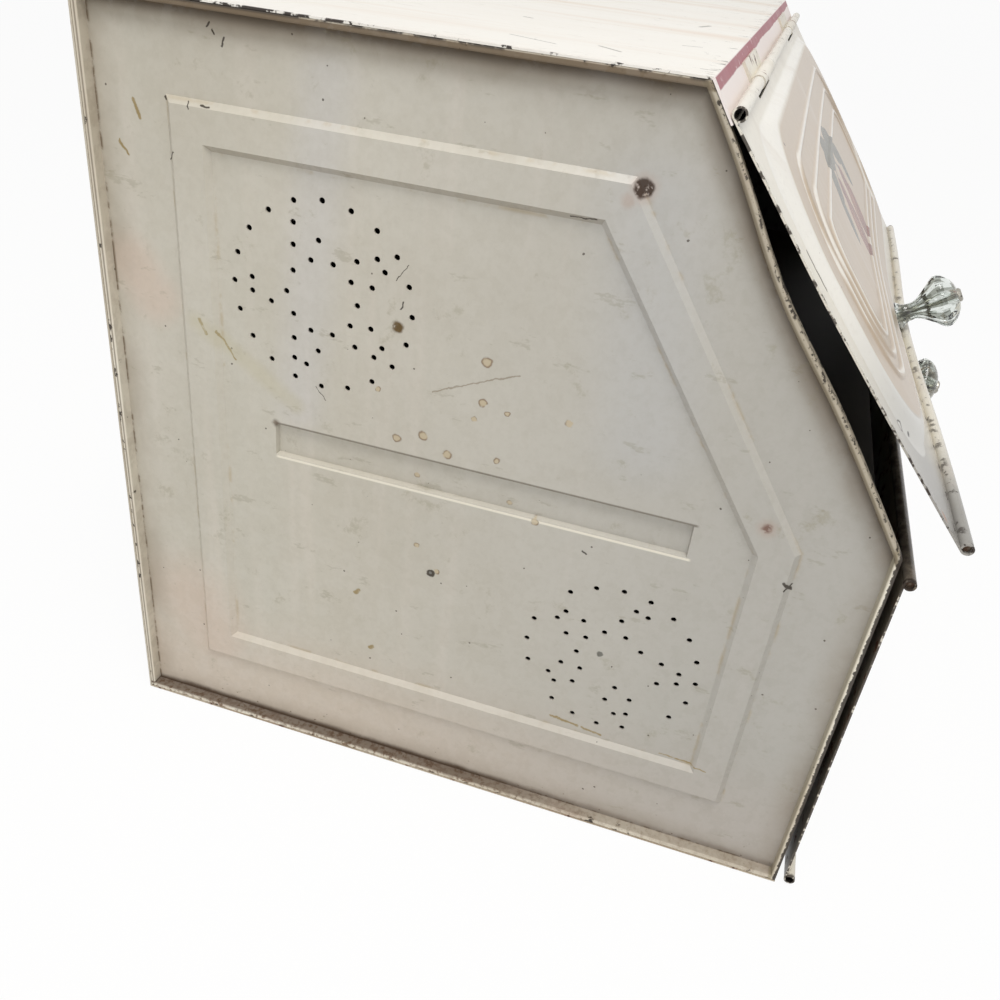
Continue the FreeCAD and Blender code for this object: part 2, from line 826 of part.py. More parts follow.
def make_washer(door):
    body = new_body(f"{door.name}_knob_washer")
    outline = new_sketch(body, f"{door.name}WasherOutline", "XY_Plane")
    draw_circle(outline, zero, zero, size["washer_diameter"] / 2)
    draw_circle(outline, zero, zero, bore_radius)
    add_pad(body, f"{door.name}Washer", outline, size["washer_thickness"])
    return knob_height(door, body, -(tube_radius + size["washer_thickness"]))


def make_nut(door):
    body = new_body(f"{door.name}_knob_nut")
    outline = new_sketch(body, f"{door.name}NutOutline", "XY_Plane")
    half = size["nut_width"] / 2
    draw_rectangle(outline, -half, half, -half, half)
    draw_circle(outline, zero, zero, size["screw_diameter"] / 2)
    add_pad(body, f"{door.name}Nut", outline, size["nut_thickness"])
    below = tube_radius + size["washer_thickness"] + size["nut_thickness"]
    return knob_height(door, body, -below)


def make_door(door):
    return [
        make_door_panel(door),
        make_edge_wire(door),
        make_knob(door),
        make_screw(door),
        make_washer(door),
        make_nut(door),
    ]


def make_hinge(name, along, up, leaf, turn=None):
    return [
        make_strap(f"{name}_hinge_strap_left", -1, along, up, leaf, turn),
        make_strap(f"{name}_hinge_strap_right", 1, along, up, leaf, turn),
        make_pins(f"{name}_hinge_pins", along, up),
    ]


def check_document():
    """Stop if any object of the document failed to build."""
    doc.recompute()
    for part in doc.Objects:
        if "Invalid" in part.State or "Error" in part.State:
            raise RuntimeError(f"{part.Label} did not build: {part.State}")


def write_parts(parts):
    """Write each sub-part to its own file, once its shape is whole."""
    os.makedirs("parts", exist_ok=True)
    for part in parts:
        shape = part.Shape
        if shape.isNull() or not shape.isValid() or not shape.Solids:
            raise RuntimeError(f"{part.Label} has no valid shape")
        shape.exportStep(f"parts/{part.Label}.step")
        print(f"{part.Label}: {len(shape.Solids)} solid, {shape.Volume:.0f} cubic mm")


upper_turn = quarter_turn - slant_angle
upper_door = Door("upper", upper_reach, -1, upper_axis_y, upper_axis_z, upper_turn - ajar)
lower_door = Door("lower", lower_reach, 1, lower_axis_y, lower_axis_z, quarter_turn)
lower_leaf = size["lower_hinge_standoff"] + size["lower_strap_seat"]

parts = [
    make_end("left_side_panel", -1, UPPER_VENT_UNPUNCHED, LOWER_VENT_UNPUNCHED),
    make_end("right_side_panel", 1),
    make_top(),
    make_back(),
    make_floor(),
    make_shelf(),
]
parts += make_hinge("upper", upper_axis_y, upper_axis_z, size["upper_strap_leaf"], upper_turn)
parts += make_hinge("lower", lower_axis_y, lower_axis_z, lower_leaf)
parts += make_door(upper_door)
parts += make_door(lower_door)
check_document()
write_parts(parts)
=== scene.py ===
# %% [markdown]
# # A pie safe of enamelled tin
#
# This lesson dresses a table-top pie safe that a CAD model has already measured out. The safe has a
# slanted door hinged at its top, an upright door hinged at its foot, and ends of pressed tin with
# punched vents. Blender's part is the look: worn cream enamel, clear glass knobs and soft light.

import json
import math

import bmesh
import bpy
from mathutils import Matrix, Vector


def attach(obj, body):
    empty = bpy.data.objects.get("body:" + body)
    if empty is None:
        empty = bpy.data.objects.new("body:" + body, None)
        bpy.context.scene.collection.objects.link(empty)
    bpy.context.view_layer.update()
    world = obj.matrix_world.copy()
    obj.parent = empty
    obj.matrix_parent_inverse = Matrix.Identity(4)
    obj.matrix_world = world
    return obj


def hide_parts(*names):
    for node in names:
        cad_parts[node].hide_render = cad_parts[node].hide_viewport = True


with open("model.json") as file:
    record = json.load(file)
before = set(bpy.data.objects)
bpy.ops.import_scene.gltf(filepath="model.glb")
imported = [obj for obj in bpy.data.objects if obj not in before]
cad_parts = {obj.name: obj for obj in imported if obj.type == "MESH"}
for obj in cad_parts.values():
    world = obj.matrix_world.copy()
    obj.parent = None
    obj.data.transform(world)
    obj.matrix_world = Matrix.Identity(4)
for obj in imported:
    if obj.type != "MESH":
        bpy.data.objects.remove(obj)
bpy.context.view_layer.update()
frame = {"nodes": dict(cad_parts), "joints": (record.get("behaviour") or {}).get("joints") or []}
nodes = frame["nodes"]

# %% [markdown]
# ## The view
#
# The photograph looks down at the left end from close by, with the camera rolled a little. A camera
# in Blender looks along its own minus Z, so its matrix holds three directions: right, up and back.
# They were worked out from the corners of the box in the photograph.

# %% Put the camera where the photographer stood
camera = bpy.data.objects.new("camera", bpy.data.cameras.new("camera"))
bpy.context.scene.collection.objects.link(camera)
camera.data.sensor_width = 36
camera.data.lens = 34.48
camera.data.clip_start = 0.02
right = Vector((0.29171, -0.95100, 0.10252))
up = Vector((0.48079, 0.23844, 0.84379))
back = Vector((-0.82689, -0.19685, 0.52678))
stand = Vector((-0.51608, -0.08222, 0.34319))
turn = Matrix((right, up, back)).transposed().to_4x4()
camera.matrix_world = Matrix.Translation(stand) @ turn
bpy.context.scene.camera = camera
bpy.context.scene.view_settings.view_transform = "Standard"
print("camera at", [round(place, 3) for place in camera.location])

# %% [markdown]
# ## Light
#
# Plain, soft light shows pressed tin best. One broad lamp stands above, a little to the front and to
# the left, so that each rim drops a short soft shadow on the sheet below it; under the top and slanted
# rims of the ends, painted shadow deepens it. A weaker lamp fills the left end. The sky is white
# where the camera, glass or polished metal sees it, and gives an even light of its own.

# %% Hang two soft lamps
SAFE_MIDDLE = Vector((0, 0, 0.15))


def hang_lamp(name, place, width, power, colour):
    """Hang a square area lamp that shines at the middle of the safe."""
    lamp = bpy.data.objects.new(name, bpy.data.lights.new(name, "AREA"))
    lamp.data.size = width
    lamp.data.energy = power
    lamp.data.color = colour
    aim = SAFE_MIDDLE - Vector(place)
    lamp.matrix_world = Matrix.Translation(place) @ aim.to_track_quat("-Z", "Y").to_matrix().to_4x4()
    bpy.context.scene.collection.objects.link(lamp)
    print(name, "shines with", power, "watts")


hang_lamp("key_lamp", (-0.62, -0.18, 1.45), 0.7, 12, (1.0, 0.985, 0.96))
hang_lamp("fill_lamp", (-1.7, 0.05, 0.75), 1.4, 5.0, (0.96, 0.98, 1.0))

# %% [markdown]
# ## Mixing paint with nodes
#
# Each finish is a tree of shader nodes. The same few moves come back in all of them: a sum, a soft
# fade between two values, cloudy noise, a coat of colour over another. A small class gives each move
# a short name, so that a finish reads like a recipe.

# %% A short name for each shader move
class Paint:
    """One finish in the making: its node tree and the moves used to mix it."""

    def __init__(self, name):
        self.material = bpy.data.materials.new(name)
        self.material.use_nodes = True
        self.tree = self.material.node_tree
        self.surface = self.tree.nodes["Principled BSDF"]
        self.place = self.add("ShaderNodeTexCoord").outputs["Object"]

    def feed(self, socket, value):
        """Link an output into a socket, or set the socket to a plain value."""
        if isinstance(value, bpy.types.NodeSocket):
            self.tree.links.new(value, socket)
        elif value is not None:
            socket.default_value = value

    def add(self, kind, *values, **settings):
        """Add a node, set it up and feed its inputs in their order."""
        node = self.tree.nodes.new(kind)
        for name, value in settings.items():
            setattr(node, name, value)
        for socket, value in zip(node.inputs, values):
            self.feed(socket, value)
        return node

    def calc(self, operation, *values, clamp=False):
        """Work out a number from numbers."""
        return self.add("ShaderNodeMath", *values, operation=operation, use_clamp=clamp).outputs[0]

    def move(self, operation, *values):
        """Work out a vector from vectors."""
        return self.add("ShaderNodeVectorMath", *values, operation=operation).outputs[0]

    def measure(self, operation, *values):
        """Work out a number from vectors, such as a distance."""
        return self.add("ShaderNodeVectorMath", *values, operation=operation).outputs["Value"]

    def fade(self, value, start, end):
        """Go softly from nothing at start to full at end."""
        node = self.add("ShaderNodeMapRange", value, start, end, interpolation_type="SMOOTHSTEP")
        return node.outputs[0]

    def band(self, value, low, high, soft):
        """Full between low and high, and soft at both sides."""
        past_low = self.fade(value, low - soft, low + soft)
        return self.all_of(past_low, self.fade(value, high + soft, high - soft))

    def noise(self, scale, detail=2.0, roughness=0.5, stretch=None, distortion=0.0, shift=0.0):
        """Cloudy noise, drawn out along an axis where its stretch is small."""
        place = self.place
        if stretch:
            place = self.move("MULTIPLY", place, stretch)
        if shift:
            place = self.move("ADD", place, (shift, shift, shift))
        node = self.add("ShaderNodeTexNoise")
        self.feed(node.inputs["Vector"], place)
        self.feed(node.inputs["Scale"], scale)
        self.feed(node.inputs["Detail"], detail)
        self.feed(node.inputs["Roughness"], roughness)
        self.feed(node.inputs["Distortion"], distortion)
        return node.outputs["Fac"]

    def specks(self, scale, largest, share, shift):
        """Scattered specks: share says how many cells hold one, and largest its radius in metres."""
        cells = self.add("ShaderNodeTexVoronoi")
        place = self.ragged(self.place, scale * 2.5, largest * 1.6)
        self.feed(cells.inputs["Vector"], self.move("ADD", place, (shift, shift, shift)))
        self.feed(cells.inputs["Scale"], scale)
        luck = self.add("ShaderNodeSeparateColor", cells.outputs["Color"]).outputs[0]
        start = -largest * scale * (1 / share - 1)
        size = self.calc("MULTIPLY_ADD", luck, largest * scale / share, start)
        inside = self.calc("SUBTRACT", size, cells.outputs["Distance"])
        return self.fade(inside, 0.0, 0.25 * largest * scale)

    def ragged(self, place, scale, amount, flat=False):
        """Shake a place a little, so that marks get uneven outlines."""
        node = self.add("ShaderNodeTexNoise")
        self.feed(node.inputs["Vector"], place)
        self.feed(node.inputs["Scale"], scale)
        self.feed(node.inputs["Detail"], 2.0)
        centred = self.move("SUBTRACT", node.outputs["Color"], (0.5, 0.5, 0.5))
        reach = (0.0 if flat else amount, amount, amount)
        return self.move("MULTIPLY_ADD", centred, reach, place)

    def spot(self, flat, centre, radius, softness=0.4):
        """A round mark, full in its middle and soft at its rim."""
        away = self.measure("DISTANCE", flat, centre)
        return self.fade(away, radius, radius * (1 - softness))

    def scratch(self, flat, start, end, width, softness=0.6):
        """A mark along a straight line from start to end."""
        run = Vector(end) - Vector(start)
        offset = self.move("SUBTRACT", flat, start)
        along = self.measure("DOT_PRODUCT", offset, tuple(run))
        along = self.calc("DIVIDE", along, run.length_squared, clamp=True)
        nearest = self.move("SCALE", tuple(run), None, None, along)
        away = self.measure("DISTANCE", offset, nearest)
        return self.fade(away, width, width * (1 - softness))

    def depth(self, normal, level):
        """How far a place lies behind a plane, given by its inward normal and level."""
        return self.calc("SUBTRACT", self.measure("DOT_PRODUCT", self.place, normal), level)

    def coat(self, amount, under, over):
        """Lay one colour over another where amount says."""
        mix = self.add("ShaderNodeMix", data_type="RGBA")
        self.feed(mix.inputs[0], amount)
        self.feed(mix.inputs[6], under)
        self.feed(mix.inputs[7], over)
        return mix.outputs[2]

    def glaze(self, mask, strength, under, over):
        """Lay a thin coat: strength says how much of it covers where the mask is full."""
        return self.coat(self.calc("MULTIPLY", mask, strength), under, over)

    def all_of(self, *masks):
        """Where every mask is full."""
        result = masks[0]
        for mask in masks[1:]:
            result = self.calc("MULTIPLY", result, mask)
        return result

    def any_of(self, *masks):
        """Where at least one mask is full."""
        result = masks[0]
        for mask in masks[1:]:
            result = self.calc("MAXIMUM", result, mask)
        return result

    def least_of(self, *values):
        """The smallest of some numbers."""
        result = values[0]
        for value in values[1:]:
            result = self.calc("MINIMUM", result, value)
        return result

    def split(self):
        """The three coordinates of the place on the object."""
        return self.add("ShaderNodeSeparateXYZ", self.place).outputs

    def facing(self):
        """The three parts of the surface's own direction."""
        outward = self.add("ShaderNodeTexCoord").outputs["Normal"]
        return self.add("ShaderNodeSeparateXYZ", outward).outputs

    def dents(self, scale, shift, grain, share):
        """The height of a sheet with slow dents and a little of its fine grain."""
        slow = self.noise(scale, 2, 0.4, shift=shift)
        return self.calc("MULTIPLY_ADD", slow, 1.0, self.calc("MULTIPLY", grain, share))

    def finish(self, colour, roughness, bump=None, height=None, **constants):
        """Bring colour, roughness and relief to the surface."""
        self.feed(self.surface.inputs["Base Color"], colour)
        self.feed(self.surface.inputs["Roughness"], roughness)
        if bump is not None:
            relief = self.add("ShaderNodeBump")
            relief.inputs["Strength"].default_value = 1.0
            relief.inputs["Distance"].default_value = height
            self.feed(relief.inputs["Height"], bump)
            self.feed(self.surface.inputs["Normal"], relief.outputs["Normal"])
        for name, value in constants.items():
            title = name.replace("_", " ").title().replace("Ior", "IOR")
            self.surface.inputs[title].default_value = value
        print("mixed", self.material.name, "from", len(self.tree.nodes), "nodes")
        return self.material


def colour(*parts):
    """Turn a colour as a painter reads it off a screen into the linear one that nodes use."""
    linear = [((part / 255 + 0.055) / 1.055) ** 2.4 for part in parts]
    return (*linear, 1.0)


# %% [markdown]
# ## Floor and sky
#
# The floor is a pale sheet. For the camera it is mostly plain white, as in the photograph, and the
# rest of its shading keeps the soft shadow that stands the safe on it.

# %% Lay the floor and the sky
def white_for_seen_rays(tree):
    """An output that is 1 for what the camera, glass and polished metal see."""
    path = tree.nodes.new("ShaderNodeLightPath")
    seen = None
    for name in ("Is Camera Ray", "Is Glossy Ray", "Is Transmission Ray"):
        if seen is None:
            seen = path.outputs[name]
            continue
        either = tree.nodes.new("ShaderNodeMath")
        either.operation = "MAXIMUM"
        tree.links.new(seen, either.inputs[0])
        tree.links.new(path.outputs[name], either.inputs[1])
        seen = either.outputs[0]
    return seen


WHITE = (1, 1, 1, 1)
SKY_LIGHT = 0.42
FLOOR_WHITE = 0.93
FLOOR_HALF = 40.0
FLOOR_GAP = 0.0002

sky = bpy.data.worlds.new("sky")
bpy.context.scene.world = sky
sky.use_nodes = True
even = sky.node_tree.nodes["Background"]
even.inputs["Color"].default_value = WHITE
strength = sky.node_tree.nodes.new("ShaderNodeMapRange")
strength.inputs["To Min"].default_value = SKY_LIGHT
strength.inputs["To Max"].default_value = 1.0
sky.node_tree.links.new(white_for_seen_rays(sky.node_tree), strength.inputs["Value"])
sky.node_tree.links.new(strength.outputs[0], even.inputs["Strength"])

floor_paint = Paint("pale_floor")
floor_tree = floor_paint.tree
floor_cloud = floor_paint.noise(3.0, detail=3.0)
floor_colour = floor_paint.coat(floor_cloud, colour(244, 243, 240), colour(250, 249, 247))
floor_paint.finish(floor_colour, 0.9)
glow = floor_tree.nodes.new("ShaderNodeEmission")
glow.inputs["Color"].default_value = WHITE
plain = floor_tree.nodes.new("ShaderNodeMixShader")
seen_part = floor_tree.nodes.new("ShaderNodeMath")
seen_part.operation = "MULTIPLY"
seen_part.inputs[1].default_value = FLOOR_WHITE
floor_tree.links.new(white_for_seen_rays(floor_tree), seen_part.inputs[0])
floor_tree.links.new(seen_part.outputs[0], plain.inputs[0])
floor_tree.links.new(floor_paint.surface.outputs[0], plain.inputs[1])
floor_tree.links.new(glow.outputs[0], plain.inputs[2])
floor_tree.links.new(plain.outputs[0], floor_tree.nodes["Material Output"].inputs["Surface"])

floor_mesh = bmesh.new()
bmesh.ops.create_grid(floor_mesh, x_segments=1, y_segments=1, size=FLOOR_HALF)
floor_data = bpy.data.meshes.new("floor")
floor_mesh.to_mesh(floor_data)
floor_mesh.free()
floor_data.transform(Matrix.Translation((0, 0, -FLOOR_GAP)))
floor_data.materials.append(floor_paint.material)
floor = bpy.data.objects.new("floor", floor_data)
bpy.context.scene.collection.objects.link(floor)
print("floor laid")

# %% [markdown]
# ## The enamelled ends
#
# Each end is one sheet of tin, dipped in cream enamel long ago. The paint is greyish beige on the
# broad face, with faint upright streaks. Dirt and rust gather in the corner between sheet and rim,
# worst at the foot, and the crest of the rim is rubbed. All of that follows the distance to the five
# sides of the end, so the recipe starts by working those distances out. Single chips and scratches
# are laid where the photograph shows them, and only on the left end.

# %% Measure the end's five sides, in metres
SHEET = 0.0007  # the tin's thickness
HALF_DEPTH = 0.1525
HEIGHT = 0.308
KNEE = 0.170  # height where the front turns into the slant
FOLD = -0.0575  # Y where the slant meets the top
FACE = 0.2155  # X of the outer skin of an end, between its pressings
slant = Vector((0, FOLD + HALF_DEPTH, HEIGHT - KNEE)).normalized()
slant_inward = (0, slant.z, -slant.y)
SLANT_LENGTH = math.hypot(FOLD + HALF_DEPTH, HEIGHT - KNEE)
BOW = 0.0031  # how far the slanted rim is pushed in at most
BOW_PLACE = 0.60  # where on the slant that is, as a share of its length
BOW_SPREAD = 0.20


def up_slant(paint):
    """How far a place lies up the slant, from the knee at 0 to the fold at 1."""
    above_knee = paint.depth(tuple(slant), slant.y * -HALF_DEPTH + slant.z * KNEE)
    return paint.calc("DIVIDE", above_knee, SLANT_LENGTH)


def side_depths(paint):
    """Distances to the foot, top, back, front and slanted sides of an end."""
    return {
        "foot": paint.depth((0, 0, 1), SHEET),
        "top": paint.depth((0, 0, -1), SHEET - HEIGHT),
        "back": paint.depth((0, -1, 0), SHEET - HALF_DEPTH),
        "front": paint.depth((0, 1, 0), -HALF_DEPTH),
        "slant": paint.depth(slant_inward, slant_inward[1] * -HALF_DEPTH + slant_inward[2] * KNEE),
    }


print("slant leans", round(math.degrees(math.atan2(slant.y, slant.z)), 2), "degrees")

# %% Choose the shades of old enamel
BARE_INSIDE = colour(50, 46, 41)
SOOT = colour(26, 22, 19)
BROWN_RUST = colour(84, 60, 42)
RED_RUST = colour(128, 78, 52)
GRIME = colour(140, 124, 104)
CREAM = colour(232, 226, 211)
print("six shades chosen")


# %% Note the marks of the left end, in millimetres along Y and up Z
def on_end(along, above):
    """A place on the end, flattened on the plane X = 0."""
    return (0.0, along / 1000, above / 1000)


black_scratches = [
    ((119.0, 258.6), (121.3, 255.6), 0.45),
    ((98.3, 297.2), (99.5, 294.6), 0.4),
    ((103.8, 301.2), (104.6, 300.0), 0.5),
    ((102.5, 299.2), (101.9, 298.0), 0.4),
    ((112.5, 275.9), (112.0, 273.6), 0.28),
    ((107.3, 275.4), (104.4, 275.3), 0.42),
    ((32.5, 221.6), (33.3, 218.6), 0.42),
    ((121.8, 276.2), (121.4, 275.4), 0.5),
    ((-22.5, 262.0), (-31.0, 262.2), 0.34),
    ((-45.0, 138.4), (-46.4, 137.4), 0.6),
    ((-118.6, 147.6), (-121.6, 145.3), 0.8),
    ((-119.4, 144.6), (-121.4, 147.2), 0.55),
    ((35.6, 229.0), (31.2, 235.2), 0.18),
    ((66.0, 181.0), (61.5, 176.0), 0.2),
]
ochre_strokes = [
    ((134.6, 273.6), (132.4, 267.6), 0.9),
    ((141.6, 258.6), (138.6, 254.6), 0.7),
    ((113.2, 198.8), (110.4, 193.4), 0.9),
    ((106.7, 195.0), (99.6, 184.6), 0.55),
    ((-44.0, 52.4), (-56.0, 50.6), 0.8),
    ((-58.0, 50.6), (-66.5, 49.2), 0.7),
    ((-92.0, 49.0), (-112.0, 48.0), 0.5),
    ((46.0, 90.4), (47.2, 88.8), 1.3),
    ((38.6, 61.6), (39.8, 60.4), 1.1),
]
long_crack = [
    ((19.5, 189.9), (-2.5, 199.8), 0.4),
    ((-2.5, 199.8), (-12.4, 203.7), 0.4),
]
ring_chips = [
    (32.2, 167.5, 1.9), (21.8, 171.0, 2.3), (11.8, 165.4, 2.2), (0.0, 206.2, 2.2), (-0.1, 190.2, 1.9),
    (-25.3, 145.9, 1.7), (-32.3, 189.7, 1.8), (2.6, 183.0, 1.5), (-7.5, 168.0, 1.5), (24.0, 152.0, 1.4),
    (12.0, 110.6, 1.6), (21.4, 121.0, 1.4), (-14.0, 150.0, 1.3), (-9.6, 188.0, 1.2), (40.8, 186.0, 1.3),
]
print(len(black_scratches + ochre_strokes + long_crack + ring_chips), "marks noted")


# %% Draw the noted marks
def strokes(paint, flat, marks):
    """Where any of the noted lines runs."""
    return paint.any_of(
        *(paint.scratch(flat, on_end(*start), on_end(*end), width / 1000) for start, end, width in marks)
    )


def chipped_rings(paint, flat, marks):
    """The brown rims and the pale hearts of round chips; each has a place and a radius in millimetres."""
    rims, hearts = [], []
    for along, above, radius in marks:
        away = paint.measure("DISTANCE", flat, on_end(along, above))
        rims.append(paint.band(away, radius * 0.00062, radius * 0.00088, radius * 0.00018))
        hearts.append(paint.fade(away, radius * 0.0009, radius * 0.0006))
    return paint.any_of(*rims), paint.any_of(*hearts)


def lay_marks(paint, shade, flat, left, fine):
    """Lay every single mark of the left end over its shade."""
    ochre = paint.all_of(strokes(paint, flat, ochre_strokes), left, paint.fade(fine, 0.2, 0.5))
    shade = paint.coat(ochre, shade, colour(150, 132, 92))
    rub = paint.scratch(flat, on_end(114.2, 197.5), on_end(74.7, 171.1), 0.006, 0.9)
    shade = paint.glaze(paint.all_of(rub, left), 0.35, shade, colour(186, 178, 146))
    crack = strokes(paint, flat, long_crack)
    shade = paint.glaze(paint.all_of(crack, left), 0.55, shade, colour(120, 104, 80))
    rims, hearts = chipped_rings(paint, flat, ring_chips)
    shade = paint.glaze(paint.all_of(hearts, left), 0.7, shade, colour(188, 170, 136))
    rims = paint.all_of(rims, left, paint.fade(paint.noise(260.0, 2, 0.5, shift=51.0), 0.35, 0.55))
    shade = paint.glaze(rims, 0.85, shade, colour(112, 84, 56))
    black = strokes(paint, flat, black_scratches)
    black = paint.any_of(black, paint.spot(flat, on_end(14.6, 109.1), 0.0021, 0.3))
    shade = paint.glaze(paint.all_of(black, left), 0.92, shade, colour(48, 38, 28))
    eye = paint.all_of(paint.spot(flat, on_end(14.8, 109.3), 0.0009, 0.5), left)
    shade = paint.coat(eye, shade, colour(120, 118, 112))
    grey_dot = paint.all_of(paint.spot(flat, on_end(-59.4, 92.0), 0.0017, 0.4), left)
    shade = paint.coat(grey_dot, shade, colour(108, 106, 98))
    blot = paint.spot(flat, on_end(34.0, 212.0), 0.0028, 0.5)
    shade = paint.coat(paint.all_of(blot, left, paint.fade(fine, 0.3, 0.5)), shade, colour(96, 76, 44))
    halo = paint.any_of(
        paint.spot(flat, on_end(-44.0, 274.0), 0.0062, 0.7),
        paint.spot(flat, on_end(-107.6, 168.3), 0.0052, 0.8),
        paint.spot(flat, on_end(-40.0, 270.0), 0.0036, 0.8),
    )
    shade = paint.glaze(paint.all_of(halo, left), 0.3, shade, colour(168, 128, 106))
    knot = paint.spot(flat, on_end(-44.0, 274.0), 0.0036, 0.35)
    shade = paint.coat(paint.all_of(knot, left, paint.fade(fine, 0.28, 0.45)), shade, colour(58, 40, 26))
    stain = paint.spot(flat, on_end(-107.6, 168.3), 0.0024, 0.7)
    stain = paint.all_of(stain, left, paint.fade(fine, 0.3, 0.45))
    shade = paint.glaze(stain, 0.85, shade, colour(104, 66, 50))
    tip = paint.all_of(paint.spot(flat, on_end(83.1, 161.1), 0.0024, 0.8), left)
    shade = paint.glaze(tip, 0.8, shade, colour(96, 78, 58))
    return shade


# %% Mix the shade of the rims
def mix_rims(paint, deep, nearest, cloud, streaks, chipping, blotches, muddy, foot_rust):
    """The creamier shade of the rims, with painted shade on the top and slanted rims, and where they are
    worn down to the metal.
    """
    rim_shade = paint.coat(paint.fade(cloud, 0.3, 0.7), colour(198, 187, 168), CREAM)
    rim_shade = paint.glaze(paint.fade(streaks, 0.5, 0.7), 0.4, rim_shade, colour(190, 168, 152))
    foot_line = paint.fade(deep["foot"], 0.0034, 0.0026)
    speckle = paint.fade(paint.noise(430.0, 4, 0.7, shift=19.0), 0.47, 0.58)
    speckle = paint.all_of(foot_line, speckle, muddy, paint.calc("MULTIPLY_ADD", foot_rust, 0.4, 0.5))
    rim_shade = paint.coat(speckle, rim_shade, colour(116, 90, 68))
    foot_inner = paint.all_of(foot_line, muddy, paint.fade(deep["foot"], 0.0014, 0.0024))
    rim_shade = paint.glaze(foot_inner, 0.85, rim_shade, colour(84, 64, 48))
    # painted shade: the face of the top rim is darkened as if in shadow
    top_rim_painted_shade = paint.all_of(paint.fade(deep["top"], 0.0034, 0.0026), paint.fade(deep["top"], 0.0, 0.0007))
    rim_shade = paint.glaze(top_rim_painted_shade, 0.95, rim_shade, colour(106, 90, 70))
    back_line = paint.band(deep["back"], 0.0010, 0.0016, 0.0003)
    back_line = paint.all_of(paint.fade(deep["back"], 0.003, 0.002), back_line)
    rim_shade = paint.glaze(back_line, 0.8, rim_shade, colour(110, 96, 82))
    pitting = paint.noise(520.0, 4, 0.65, shift=61.0)
    front_line = paint.band(deep["front"], 0.0019, 0.0034, 0.0004)
    rim_shade = paint.glaze(front_line, 0.7, rim_shade, colour(150, 140, 112))
    hem_wear = paint.calc("MULTIPLY_ADD", paint.fade(nearest, 0.0022, 0.0), 0.10, chipping)
    hem_wear = paint.fade(hem_wear, 0.66, 0.71)
    ragged_edge = paint.calc("MULTIPLY_ADD", pitting, 0.0026, paint.calc("SUBTRACT", 0.0001, deep["front"]))
    front_wear = paint.fade(ragged_edge, 0.0, 0.0003)
    slant_wear = paint.all_of(paint.fade(deep["slant"], 0.0012, 0.0003), paint.fade(pitting, 0.54, 0.60))
    # painted shade along the slanted rim, darker still on its inner half next to the sheet
    slant_rim_painted_shade = paint.fade(deep["slant"], 0.003, 0.0024)
    rim_shade = paint.glaze(slant_rim_painted_shade, 0.6, rim_shade, colour(144, 131, 108))
    slant_rim_inner_painted_shade = paint.all_of(slant_rim_painted_shade, paint.fade(deep["slant"], 0.0008, 0.0016))
    rim_shade = paint.glaze(slant_rim_inner_painted_shade, 0.75, rim_shade, colour(104, 92, 72))
    top_run = paint.band(paint.split()[1], 0.045, 0.115, 0.02)
    top_wear = paint.calc("MULTIPLY_ADD", top_run, 0.12, blotches)
    top_wear = paint.all_of(paint.fade(deep["top"], 0.0012, 0.0002), paint.fade(top_wear, 0.54, 0.60))
    wear = paint.any_of(hem_wear, front_wear, slant_wear, top_wear)
    rim_shade = paint.glaze(wear, 0.93, rim_shade, colour(44, 36, 30))
    return rim_shade, wear


# %% Mix the finish of the ends
LEDGE_LOW = 0.1465  # the pressed ledge under the shelf, from its foot to its head
LEDGE_HIGH = 0.1615


